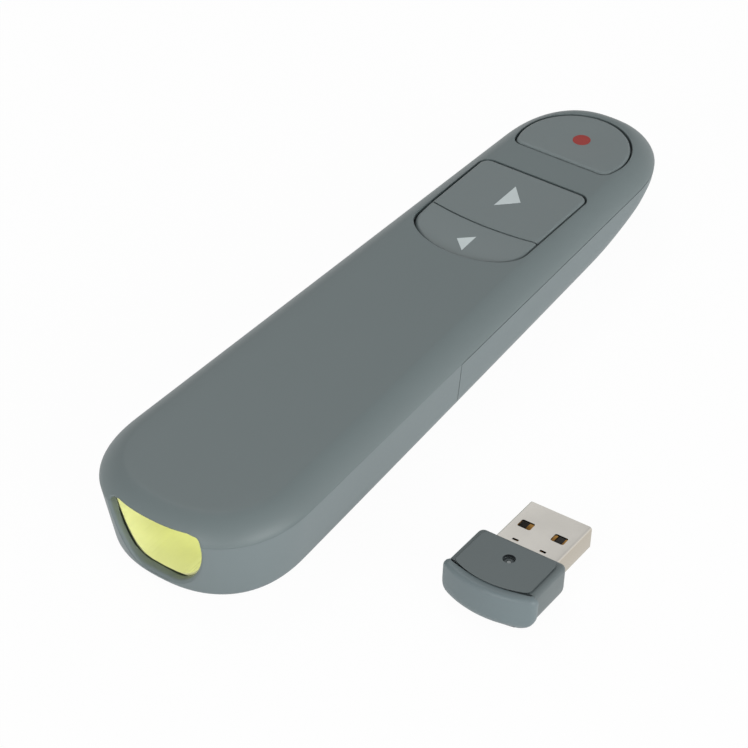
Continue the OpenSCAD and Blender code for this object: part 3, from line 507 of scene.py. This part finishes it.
def mouthRelief(name):
    # thins the wall behind the opening, which leaves a dark gap before the liner
    loop = mouthLoop(mouth["relief"])
    return skinOver(name, [[(x, tailFace(x, z) + mouth["lip"], z) for x, z in loop],
                           [(x, tailY + mouth["deep"], z) for x, z in loop]])


# nose aperture
aperture = {"width": 7.0, "top": 15.7, "low": 9.4, "corner": 1.2, "windowY": 69.24}


def apertureBlock(name):
    half, r = aperture["width"] / 2, aperture["corner"]
    points = []
    for cx, cz, start in ((1, 0, -90), (1, 1, 0), (-1, 1, 90), (-1, 0, 180)):
        z = aperture["top"] - r if cz else aperture["low"] + r
        for k in range(7):
            a = radians(start + 90 * k / 6)
            points.append((cx * (half - r) + r * cos(a), z + r * sin(a)))
    return skinOver(name, [[(x, y, z) for x, z in points] for y in (aperture["windowY"], noseY + 3)])


# key outlines
keys = {
    "laserY": 55.7, "laserRadius": 11.2, "laserBack": 4.9, "corner": 2.0, "halfWidth": 11.8,
    "frontY": 42.8, "splitY": 24.9, "splitBow": 1.1, "roundY": 20.9, "roundDepth": 7.0,
    "rim": 0.7, "dishDepth": 0.45, "flangeLow": 14.0, "flangeTop": 14.9, "flangeGrow": 0.95,
}
keyTop = crownZ + handset["keyProud"]
splitRadius = (keys["halfWidth"] ** 2 + keys["splitBow"] ** 2) / (2 * keys["splitBow"])


def arc(cx, cy, rx, ry, start, end, steps):
    turns = [radians(mix(start, end, k / steps)) for k in range(steps + 1)]
    return [(cx + rx * cos(a), cy + ry * sin(a)) for a in turns]


def laserLoop(grow=0.0):
    r, big = keys["corner"], keys["laserRadius"]
    cx = sqrt((big - r) ** 2 - (keys["laserBack"] - r) ** 2)
    cy = keys["laserY"] - keys["laserBack"] + r
    turn = degrees(atan2(r - keys["laserBack"], cx))
    half = [(x * cx / 8, cy - r - grow) for x in range(8)]
    half += arc(cx, cy, r + grow, r + grow, -90, turn, 8)[:-1]
    half += arc(0, keys["laserY"], big + grow, big + grow, turn, 90, 30)
    return fullLoop(half)


def navLoop(grow=0.0):
    r, half = keys["corner"], keys["halfWidth"]
    side = arc(0, keys["roundY"], half + grow, keys["roundDepth"] + grow, -90, 0, 26)
    side += [(half + grow, mix(keys["roundY"], keys["frontY"] - r, k / 10)) for k in range(1, 10)]
    side += arc(half - r, keys["frontY"] - r, r + grow, r + grow, 0, 90, 8)
    side += [((half - r) * (1 - k / 6), keys["frontY"] + grow) for k in range(1, 7)]
    return fullLoop(side)


def splitDisc(name, grow, low, high):
    middle = keys["splitY"] - keys["splitBow"] + splitRadius
    loop = [(x, y) for x, y in arc(0, middle, splitRadius + grow, splitRadius + grow, -110, -70, 60)]
    loop += [(40, middle - splitRadius + 60), (-40, middle - splitRadius + 60)]
    return blockOver(name, loop, low, high)


# shells
print("crown shell")
inside = {
    "screwX": 11.8, "screwRows": (10.55, 46.8), "postRadius": 2.0, "postLow": 8.0, "postTop": 15.2,
    "bossTop": 7.95, "keyWell": 1.25, "lipNear": 2.15, "lipFar": 2.9, "lipLow": 11.2, "lipTop": 14.2,
    "wellRadius": 1.8, "wellTop": 5.5, "boreRadius": 1.0, "boreTop": 8.5,
    "cradleHalf": 3.8, "cradleStart": 60.0, "cradleEnd": 63.0, "cradleTop": 9.35,
    "bedRadius": 2.25, "bedStart": 56.95, "bedEnd": 67.0, "beamHeight": 11.1,
}
screwPlaces = [(side * inside["screwX"], y) for y in inside["screwRows"] for side in (-1, 1)]
crown = skinOver("crownShell", crownRings(0))
hollow = skinOver("hollow", crownRings(handset["wall"]))
carve(crown, hollow)
for loopOf in (laserLoop, navLoop):
    carve(crown, blockOver("opening", loopOf(handset["keyGap"]), 10, 20))
    carve(crown, blockOver("well", loopOf(inside["keyWell"]), 10, 15))
carve(crown, mouthTool("mouth"))
carve(crown, mouthRelief("relief"))
carve(crown, apertureBlock("aperture"))
near, far, low, high = (inside[part] for part in ("lipNear", "lipFar", "lipLow", "lipTop"))
lipBand = skinOver("lipBand", [ringOf(d, z) for d, z in (
    (near, low), (near, high), (far, high), (far, low), (near, low))], closed=False)
carve(lipBand, boxPiece("tailEnd", (-30, -90, 0), (30, tailY + handset["tailRound"], 20)))
carve(lipBand, boxPiece("noseEnd", (-30, noseY - handset["noseRound"], 0), (30, 90, 20)))
posts = [rodPiece("post", inside["postRadius"], (x, y, inside["postLow"]), (x, y, inside["postTop"]))
         for x, y in screwPlaces]
crown = joined(crown, lipBand, *posts)
smooth(crown)
dress(crown, shellGrey)

print("lower shells")
lowBody = skinOver("lowBody", lowerRings(0, partingZ - 0.03))
lowHollow = skinOver("lowHollow", lowerRings(handset["wall"], partingZ + 1))
tongueLow = {"half": 12.0, "start": doorY - 5, "end": 6.3, "corner": 3.0, "top": 6.3}


def tongueBlock(name, grow):
    half, r, end = tongueLow["half"] + grow, tongueLow["corner"], tongueLow["end"] + grow
    loop = arc(half - r, end - r, r, r, 0, 90, 10) + arc(r - half, end - r, r, r, 90, 180, 10)
    loop += [(-half, tongueLow["start"]), (half, tongueLow["start"])]
    return blockOver(name, loop, -2, tongueLow["top"])


door = copied(lowBody, "batteryDoor")
doorRegion = boxPiece("doorRegion", (-40, -90, -5), (40, doorY, 30))
carve(doorRegion, tongueBlock("tongue", 0), "UNION")
carve(door, doorRegion, "INTERSECT")
carve(door, lowHollow, keep=True)
carve(door, mouthTool("mouth"))
carve(door, mouthRelief("relief"))
grip = {"count": 6, "start": 36.0, "step": 2.4, "half": 6.0, "radius": 0.4}
for i in range(grip["count"]):
    y, half, r = tailY + grip["start"] + i * grip["step"], grip["half"], grip["radius"]
    ridge = rodPiece("ridge", r, (-half, y, 0), (half, y, 0), 24)
    for x in (-half, half):
        deselect()
        bpy.ops.mesh.primitive_uv_sphere_add(
            segments=24, ring_count=12, radius=r * mm, location=(x * mm, y * mm, 0))
        carve(ridge, settle(bpy.context.object), "UNION")
    carve(door, ridge)
smooth(door)
dress(door, lowerGrey)

front = skinOver("frontShell", lowerRings(0, partingZ - handset["frontGap"]))
for x, y in screwPlaces:
    carve(lowHollow, rodPiece("boss", inside["postRadius"], (x, y, -1), (x, y, inside["bossTop"])))
half = inside["cradleHalf"]
carve(lowHollow, boxPiece("cradle", (-half, inside["cradleStart"], -1),
                          (half, inside["cradleEnd"], inside["cradleTop"])))
carve(front, lowHollow)
cutRegion = boxPiece("cutRegion", (-40, -90, -5), (40, doorY + handset["doorGap"], 30))
carve(cutRegion, tongueBlock("tongue", handset["doorGap"]), "UNION")
carve(front, cutRegion)
for x, y in screwPlaces:
    carve(front, rodPiece("screwWell", inside["wellRadius"], (x, y, -2), (x, y, inside["wellTop"])))
    carve(front, rodPiece("screwBore", inside["boreRadius"], (x, y, -2), (x, y, inside["boreTop"])))
carve(front, rodPiece("barrelBed", inside["bedRadius"], (0, inside["bedStart"], inside["beamHeight"]),
                      (0, inside["bedEnd"], inside["beamHeight"])))


def padLoop(width, length, middleY, corner):
    half, tall = width / 2, length / 2
    loop = []
    for sx, sy, start in ((1, -1, -90), (1, 1, 0), (-1, 1, 90), (-1, -1, 180)):
        cx, cy = sx * (half - corner), middleY + sy * (tall - corner)
        loop += arc(cx, cy, corner, corner, start, start + 90, 6)
    return loop


knob = {
    "y": 27.55, "travel": 2.0, "width": 5.4, "length": 8.0, "low": 0.4, "high": 1.15, "corner": 1.0,
    "round": 0.25, "ribs": 5, "ribStep": 1.2, "ribHalf": 2.1, "ribRadius": 0.3, "stemHalf": 0.9,
    "stemLong": 1.2, "stemTop": 7.4, "collarHalf": 2.2, "collarLow": 1.9, "collarTop": 2.5,
    "recess": (6.0, 10.6), "slot": (2.4, 5.0), "slotTop": 3.2,
}
middleY = knob["y"] + knob["travel"] / 2
carve(front, blockOver("recess", padLoop(*knob["recess"], middleY, knob["corner"]), -1, knob["high"] + 0.05))
carve(front, blockOver("slot", padLoop(*knob["slot"], middleY, knob["corner"]), -1, knob["slotTop"]))
carve(front, apertureBlock("aperture"))
smooth(front)
dress(front, lowerGrey)
bpy.data.objects.remove(lowBody)

print("power slide")


def knobRing(inset, z):
    loop = padLoop(knob["width"] - 2 * inset, knob["length"] - 2 * inset, knob["y"], knob["corner"] - inset)
    return [(x, y, z) for x, y in loop]


rings = []
for k in range(6):
    a = pi / 2 * k / 5
    rings.append(knobRing(knob["round"] * (1 - sin(a)), knob["low"] + knob["round"] * (1 - cos(a))))
slider = skinOver("powerKnob", rings + [knobRing(0, knob["high"])])
for i in range(knob["ribs"]):
    y = knob["y"] + (i - (knob["ribs"] - 1) / 2) * knob["ribStep"]
    carve(slider, rodPiece("groove", knob["ribRadius"], (-knob["ribHalf"], y, knob["low"]),
                           (knob["ribHalf"], y, knob["low"]), 24))
for name, half, low, high in (("stem", knob["stemHalf"], 1.0, knob["stemTop"]),
                              ("collar", knob["collarHalf"], knob["collarLow"], knob["collarTop"])):
    carve(slider, boxPiece(name, (-half, knob["y"] - knob["stemLong"], low),
                           (half, knob["y"] + knob["stemLong"], high)), "UNION")
smooth(slider)
dress(slider, switchGrey)

# keys
print("keys")


def keyRings(loopOf, heightAt, centre, steps=6, inner=16):
    # flange, wall, rounded rim and a top that follows heightAt(x, y)
    low, top, grow = keys["flangeLow"], keys["flangeTop"], keys["flangeGrow"]
    rings = [[(x, y, z) for x, y in loopOf(g)] for g, z in ((grow, low), (grow, top), (0, top))]
    for k in range(steps + 1):
        a = pi / 2 * k / steps
        drop, inset = keys["rim"] * (1 - sin(a)), keys["rim"] * (1 - cos(a))
        rings.append([(x, y, heightAt(x, y) - drop) for x, y in loopOf(-inset)])
    cx, cy = centre
    rim = rings[-1]
    for k in range(1, inner + 1):
        t = 1 - k / inner
        row = []
        for x, y, z in rim:
            px, py = cx + (x - cx) * t, cy + (y - cy) * t
            row.append((px, py, heightAt(px, py)))
        rings.append(row)
    return rings


def laserTop(x, y):
    # flat edge that sinks softly into a round finger dish
    middle, reach, depth = 58.85, 7.35, keys["dishDepth"]
    r = min(1, sqrt(x * x + (y - middle) ** 2) / reach)
    return keyTop - depth * (1 - r * r) ** 1.5


def nextTop(x, y):
    return keyTop


def previousTop(x, y):
    # leans down towards the tail, a little crowned along its length
    back = max(0, keys["splitY"] - y)
    return keyTop - back * 0.05 - 0.0022 * back * back * 1.4


def keyPost(x, y):
    return rodPiece("post", 1.6, (x, y, 12.4), (x, y, 14.4))


laserKey = skinOver("laserKey", keyRings(laserLoop, laserTop, (0, 57.0)))
joined(laserKey, keyPost(0, 52.7))
nextKey = skinOver("nextKey", keyRings(navLoop, nextTop, (0, 30)))
carve(nextKey, splitDisc("split", -handset["keyGap"] / 2, 0, 30), "INTERSECT")
joined(nextKey, keyPost(0, 33.85))
previousKey = skinOver("previousKey", keyRings(navLoop, previousTop, (0, 22), inner=22))
carve(previousKey, splitDisc("split", handset["keyGap"] / 2, 0, 30))
joined(previousKey, keyPost(0, 21.3))
for key in (laserKey, nextKey, previousKey):
    smooth(key)
    dress(key, keyGrey)

# marks printed on the keys
marks = {
    "dotRadius": 1.75, "dotY": 58.95, "thick": 0.03,
    "next": [(-1.45, 30.4), (2.2, 33.9), (-1.45, 37.8)],
    "previous": [(1.15, 15.9), (1.3, 20.4), (-1.5, 18.2)],
}


def markPiece(name, loop, topAt, finish, rows=6):
    # thin print that follows the key below it
    cx = sum(x for x, y in loop) / len(loop)
    cy = sum(y for x, y in loop) / len(loop)
    rings = [[(x, y, topAt(x, y) - 0.05) for x, y in loop]]
    for k in range(rows + 1):
        t = 1 - k / rows
        rings.append([(cx + (x - cx) * t, cy + (y - cy) * t,
                       topAt(cx + (x - cx) * t, cy + (y - cy) * t) + marks["thick"]) for x, y in loop])
    piece = skinOver(name, rings)
    return dress(smooth(piece, 40), finish)


def triangleLoop(corners, steps=8):
    loop = []
    for i in range(3):
        (ax, ay), (bx, by) = corners[i], corners[(i + 1) % 3]
        loop += [(mix(ax, bx, k / steps), mix(ay, by, k / steps)) for k in range(steps)]
    return loop


dot = arc(0, marks["dotY"], marks["dotRadius"], marks["dotRadius"], 0, 360, 40)[:-1]
laserMark = markPiece("laserMark", dot, laserTop, printRed)
nextMark = markPiece("nextMark", triangleLoop(marks["next"]), nextTop, printWhite)
previousMark = markPiece("previousMark", triangleLoop(marks["previous"]), previousTop, printWhite)

# receiver
print("receiver")
receiver = {
    "x": 48.0, "y": -23.0, "turn": 1.7, "plugWidth": 12.0, "plugHeight": 4.5, "plugLength": 12.0,
    "sheet": 0.3, "plugBack": 4.6, "capWidth": 16.6, "capHeight": 6.9, "capLength": 10.4, "bulge": 1.5,
    "topEdge": 0.9, "lowEdge": 2.6, "corner": 1.2, "capWall": 1.1, "endWidth": 17.6, "endHeight": 7.0,
    "endBow": 2.4, "endWrap": 0.6, "endTop": 1.2, "endLow": 3.2, "endBrow": 0.8, "endFoot": 2.3, "seam": 0.35,
    "length": 25.6, "coreHalf": 5.8, "coreTall": 2.2, "coreDeep": 1.8,
}
footY = receiver["plugLength"] + receiver["lowEdge"]
lean = atan((receiver["capHeight"] - receiver["plugHeight"]) / 2 / footY)
lift = max(receiver["plugHeight"] / 2 * cos(lean),
           (receiver["capHeight"] / 2 - receiver["lowEdge"]) * cos(lean) + receiver["lowEdge"]
           - footY * sin(lean))
capStart = -receiver["plugLength"]
capSide = capStart - receiver["capLength"]
capEnd = capSide - receiver["bulge"]


def resting(piece):
    # from the receiver's own frame to where it lies
    place = Matrix.Translation(Vector((receiver["x"], receiver["y"], lift)) * mm)
    turn = Matrix.Rotation(radians(receiver["turn"]), 4, "Z") @ Matrix.Rotation(-lean, 4, "X")
    piece.data.transform(place @ turn)
    return piece


def bowedLoop(half, side, end, back, r, bowSteps=14, cornerSteps=8):
    big = (half * half + (side - end) ** 2) / (2 * (side - end))
    hub = end + big
    reach = asin((half - r) / (big - r))
    cornerY = hub - (big - r) * cos(reach)
    turns = [reach * k / bowSteps for k in range(bowSteps + 1)]
    right = [(big * sin(a), hub - big * cos(a)) for a in turns]
    for k in range(1, cornerSteps + 1):
        a = mix(reach, pi / 2, k / cornerSteps)
        right.append((half - r + r * sin(a), cornerY - r * cos(a)))
    for k in range(cornerSteps + 1):
        a = pi / 2 * k / cornerSteps
        right.append((half - r + r * cos(a), back - r + r * sin(a)))
    return fullLoop(right + [(0, back)])


def roundedSlab(name, loop, halfHeight, low, top, steps=7):
    ways = outwardOf(loop)
    rings = []
    for k in range(steps + 1):
        a = pi / 2 * (1 - k / steps)
        rings.append(ringOf(low * (1 - cos(a)), low * (1 - sin(a)) - halfHeight, loop, ways))
    for k in range(steps + 1):
        a = pi / 2 * k / steps
        rings.append(ringOf(top * (1 - cos(a)), halfHeight - top * (1 - sin(a)), loop, ways))
    return skinOver(name, toSpine(rings[0])[::-1] + rings + toSpine(rings[-1]))


halfCap = receiver["capWidth"] / 2
capTop = receiver["capHeight"] / 2
cap = roundedSlab("receiverCap", bowedLoop(halfCap, capSide, capEnd, capStart, receiver["corner"]),
                  capTop, receiver["lowEdge"], receiver["topEdge"])
panel = {"deep": 0.25, "side": 1.75, "front": 1.6, "back": 0.5, "slope": 0.3, "corner": 0.6}
panelLoop = bowedLoop(halfCap - panel["side"], capSide + panel["back"], capEnd + panel["back"],
                      capStart - panel["front"], panel["corner"])
panelWays = outwardOf(panelLoop)
carve(cap, skinOver("panelTool", [ringOf(inset, capTop + z, panelLoop, panelWays) for inset, z in (
    (0.0, -panel["deep"]), (-panel["slope"], 0.0), (-panel["slope"] - 0.3, 0.3))]))
led = {"in": 4.9, "well": 1.1, "wellLow": 2.9, "ring": 0.64, "ringThick": 0.36, "ringZ": 2.86}
ledY = capStart - led["in"]
carve(cap, rodPiece("ledTool", led["well"], (0, ledY, led["wellLow"]), (0, ledY, 6)))
wall, plugGap = receiver["capWall"], 0.05
carve(cap, boxPiece("capRoom", (wall - halfCap, capEnd - 1, wall - capTop),
                    (halfCap - wall, capStart - wall, capTop - wall)))
half, tall = receiver["plugWidth"] / 2 + plugGap, receiver["plugHeight"] / 2 + plugGap
carve(cap, boxPiece("plugDoor", (-half, capStart - 3, -tall), (half, capStart + 2, tall)))
deselect()
bpy.ops.mesh.primitive_torus_add(
    major_segments=48, minor_segments=12, major_radius=led["ring"] * mm, minor_radius=led["ringThick"] * mm,
    location=(0, ledY * mm, led["ringZ"] * mm))
joined(cap, settle(bpy.context.object))
smooth(cap)
turn = radians(receiver["turn"])
upWay = Vector((-sin(turn) * sin(lean), cos(turn) * sin(lean), cos(lean)))
panelFloor = upWay.dot((receiver["x"], receiver["y"], lift)) + capTop - panel["deep"]
dress(cap, matteShell("capGrey", tint(*grey["cap"]), 0.42, soften=0.15, recess={
    "way": upWay[:], "top": panelFloor + 0.1, "colour": tint(*grey["panel"])}))
resting(cap)

halfEnd = receiver["endWidth"] / 2
endRadius = (halfEnd ** 2 + receiver["endBow"] ** 2) / (2 * receiver["endBow"])
capRadius = (halfCap ** 2 + receiver["bulge"] ** 2) / (2 * receiver["bulge"])


def roundIn(z, edge, r):
    # how far a rounding of radius r stands in at height z below the edge
    return r - sqrt(max(0, r * r - max(0, z - edge + r) ** 2))


def endRing(z, tighter=0.0):
    # outer bow, rounded corner, side, then back along the cap's own bow
    tall = receiver["endHeight"] / 2
    side = roundIn(z, tall, receiver["endTop"]) + roundIn(-z, tall, receiver["endLow"]) + tighter
    bow = roundIn(z, tall, receiver["endBrow"]) + roundIn(-z, tall, receiver["endFoot"]) + tighter
    seam = roundIn(z, tall, receiver["seam"]) + tighter
    half, r, big = halfEnd - side, 1.1, endRadius - bow
    hub = endRadius - receiver["length"]
    reach = asin((half - r) / (big - r))
    cornerY = hub - (big - r) * cos(reach)
    ring = [(big * sin(reach * k / 18), hub - big * cos(reach * k / 18)) for k in range(19)]
    for k in range(1, 9):
        a = mix(reach, pi / 2, k / 8)
        ring.append((half - r + r * sin(a), cornerY - r * cos(a)))
    inner = min(half, halfCap + 0.05)
    small = capRadius + 0.05 + seam - max(0, roundIn(z, capTop, receiver["topEdge"]) - 0.3)
    hub = capEnd + capRadius
    seamY = hub - sqrt(small * small - inner * inner)
    arm = min(1, max(0, (half - inner) / 0.6))
    tip = mix(seamY, capSide + receiver["endWrap"], arm)
    soft = 0.25 * arm
    ring += [(half, mix(cornerY, tip - soft, 0.5)), (half, tip - soft)]
    ring += [(mix(half - soft, half, cos(a)), mix(tip - soft, tip, sin(a))) for a in (pi / 6, pi / 3, pi / 2)]
    ring += [(inner, tip), (inner, mix(tip, seamY, 0.5))]
    turn = asin(inner / small)
    ring += [(small * sin(turn * (1 - k / 18)), hub - small * cos(turn * (1 - k / 18))) for k in range(19)]
    return [(x, y, z) for x, y in fullLoop(ring)]


tall = receiver["endHeight"] / 2
endHeights = [-tall + receiver["endLow"] * (1 - cos(pi / 2 * k / 10)) for k in range(11)]
endHeights += [tall - receiver["endTop"] * (1 - sin(pi / 2 * k / 10)) for k in range(11)]
rings = [endRing(-tall, 0.08)] + [endRing(z) for z in endHeights] + [endRing(tall, 0.08)]
endPiece = skinOver("receiverEnd", rings)
half, high = receiver["coreHalf"], receiver["coreTall"]
core = boxPiece("core", (-half, capEnd - 0.3, -high), (half, capEnd + receiver["coreDeep"], high))
carve(endPiece, core, "UNION")
smooth(endPiece)
dress(endPiece, endGrey)
resting(endPiece)

print("plug")
plug = {"windowIn": 1.95, "windowWide": 2.5, "windowY": -5.1, "windowLong": 2.0, "notchIn": 2.05,
        "notchWide": 1.15, "notchGap": 1.3, "notchLong": 0.5, "fold": 0.5}


def plugRing(inset, y):
    half, tall = receiver["plugWidth"] / 2 - inset, receiver["plugHeight"] / 2 - inset
    r = plug["fold"] - inset
    points = []
    for cx, cz, start in ((1, -1, -90), (1, 1, 0), (-1, 1, 90), (-1, -1, 180)):
        for k in range(7):
            a = radians(start + 15 * k)
            points.append((cx * (half - r) + r * cos(a), y, cz * (tall - r) + r * sin(a)))
    return points


def softBlock(name, xLow, xHigh, yLow, yHigh, zLow, zHigh, r):
    loop = []
    for cx, cy, start in ((xHigh - r, yLow + r, -90), (xHigh - r, yHigh - r, 0),
                          (xLow + r, yHigh - r, 90), (xLow + r, yLow + r, 180)):
        loop += arc(cx, cy, r, r, start, start + 90, 5)
    return blockOver(name, loop, zLow, zHigh)


sheet, plugEnd = receiver["sheet"], capStart - receiver["plugBack"]
soft = 0.12
plugShell = skinOver("plugShell", [plugRing(inset, y) for inset, y in (
    (soft, 0), (0, -soft), (0, plugEnd), (sheet, plugEnd), (sheet, -soft), (sheet - 0.1, 0), (soft, 0))],
    closed=False)
for side in (-1, 1):
    low, high = sorted((side * plug["windowIn"], side * (plug["windowIn"] + plug["windowWide"])))
    near = plug["windowY"] - plug["windowLong"]
    carve(plugShell, softBlock("window", low, high, near, plug["windowY"], -4, 4, 0.35))
    low, high = sorted((side * plug["notchIn"], side * (plug["notchIn"] + plug["notchWide"])))
    near = capStart + plug["notchGap"]
    carve(plugShell, softBlock("notch", low, high, near, near + plug["notchLong"], 0, 4, 0.1))
smooth(plugShell)
dress(plugShell, plugSteel)
resting(plugShell)

# riding
stands = [
    (crown, "handset", ["top_shell"], "body_grey"),
    (front, "handset", ["bottom_shell"], "body_grey"),
    (door, "battery_door", ["battery_door"], "body_grey"),
    (laserKey, "laser_key", ["laser_button"], "key_grey"),
    (nextKey, "next_key", ["next_button"], "key_grey"),
    (previousKey, "previous_key", ["previous_button"], "key_grey"),
    (laserMark, "laser_key", [], None),
    (nextMark, "next_key", [], None),
    (previousMark, "previous_key", [], None),
    (cap, "receiver", ["receiver_cap"], "receiver_grey"),
    (endPiece, "receiver", ["receiver_end"], "receiver_grey"),
    (plugShell, "receiver", ["usb_shell"], "plug_metal"),
    (slider, "power_knob", ["power_slider"], "dark_plastic"),
]
for piece, body, nodes, slotName in stands:
    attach(piece, body)
    if nodes:
        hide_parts(*nodes)

# floor, light and camera
print("stage")
stageSet = {"floorSize": 3.0, "overhead": 0.26, "around": 0.97, "whiteness": 0.96}
deselect()
bpy.ops.mesh.primitive_plane_add(size=stageSet["floorSize"], location=(0, 0, -0.00005))
floor = bpy.context.object
floor.name = "floor"
f = Finish("floorWhite")
path = f.add("ShaderNodeLightPath")
seen = Wire(f, path.outputs["Is Camera Ray"]).atLeast(Wire(f, path.outputs["Is Glossy Ray"]))
seen = seen.atLeast(Wire(f, path.outputs["Is Transmission Ray"]))
plain = f.add("ShaderNodeBsdfDiffuse", None, {"Color": (0.9, 0.9, 0.9, 1)})
glow = f.add("ShaderNodeEmission", None, {"Color": (1, 1, 1, 1), "Strength": 1.0})
blend = f.add("ShaderNodeMixShader", None, {
    0: seen * stageSet["whiteness"], 1: plain.outputs[0], 2: glow.outputs[0]})
f.feed(f.end.inputs["Surface"], blend.outputs[0])
dress(floor, f.material)

world = bpy.data.worlds.new("studio")
bpy.context.scene.world = world
world.use_nodes = True
tree = world.node_tree
tree.nodes.clear()
out = tree.nodes.new("ShaderNodeOutputWorld")
path = tree.nodes.new("ShaderNodeLightPath")
dim, white = tree.nodes.new("ShaderNodeBackground"), tree.nodes.new("ShaderNodeBackground")
# dimmer overhead than around the horizon
heading, split = tree.nodes.new("ShaderNodeTexCoord"), tree.nodes.new("ShaderNodeSeparateXYZ")
level = tree.nodes.new("ShaderNodeMapRange")
tree.links.new(heading.outputs["Generated"], split.inputs[0])
tree.links.new(split.outputs["Z"], level.inputs["Value"])
level.inputs["To Min"].default_value = stageSet["around"]
level.inputs["To Max"].default_value = stageSet["overhead"]
tree.links.new(level.outputs[0], dim.inputs[1])
dim.inputs[0].default_value = (1, 1, 1, 1)
white.inputs[0].default_value, white.inputs[1].default_value = (1, 1, 1, 1), 1.0
swap = tree.nodes.new("ShaderNodeMixShader")
tree.links.new(path.outputs["Is Camera Ray"], swap.inputs[0])
tree.links.new(dim.outputs[0], swap.inputs[1])
tree.links.new(white.outputs[0], swap.inputs[2])
tree.links.new(swap.outputs[0], out.inputs[0])


def softBox(name, place, aim, size, power):
    lamp = bpy.data.lights.new(name, "AREA")
    lamp.shape, lamp.size, lamp.size_y, lamp.energy = "RECTANGLE", size[0], size[1], power
    box = bpy.data.objects.new(name, lamp)
    bpy.context.scene.collection.objects.link(box)
    box.location = place
    box.rotation_euler = (Vector(aim) - Vector(place)).to_track_quat("-Z", "Y").to_euler()
    return box


softBox("sideBox", (0.85, -0.15, 0.24), (0, 0, 0.01), (0.7, 0.3), 4.5)
softBox("tailBox", (0.05, -0.9, 0.3), (0, -0.06, 0.01), (0.5, 0.3), 2.5)
softBox("highBox", (-0.5, 0.3, 0.95), (0, 0.02, 0), (0.6, 0.4), 2.0)

view = {"azimuth": 36.511, "elevation": 39.208, "roll": -0.806, "focus": 2377.12, "distance": 433.68,
        "target": (-2.592, -6.597, 0.0)}
az, el, roll = (radians(view[k]) for k in ("azimuth", "elevation", "roll"))
back = Vector((sin(az) * cos(el), -cos(az) * cos(el), sin(el)))
right = Vector((cos(az), sin(az), 0))
up = back.cross(right)
turnedRight = right * cos(roll) + up * sin(roll)
turnedUp = up * cos(roll) - right * sin(roll)
lens = bpy.data.cameras.new("camera")
lens.sensor_width = 36.0
lens.lens = view["focus"] * 36.0 / 748
lens.clip_start, lens.clip_end = 0.01, 10
camera = bpy.data.objects.new("camera", lens)
bpy.context.scene.collection.objects.link(camera)
camera.matrix_world = Matrix.Translation((Vector(view["target"]) + back * view["distance"]) * mm) @ Matrix(
    (turnedRight, turnedUp, back)).transposed().to_4x4()
bpy.context.scene.camera = camera
bpy.context.scene.view_settings.view_transform = "Standard"

deselect()
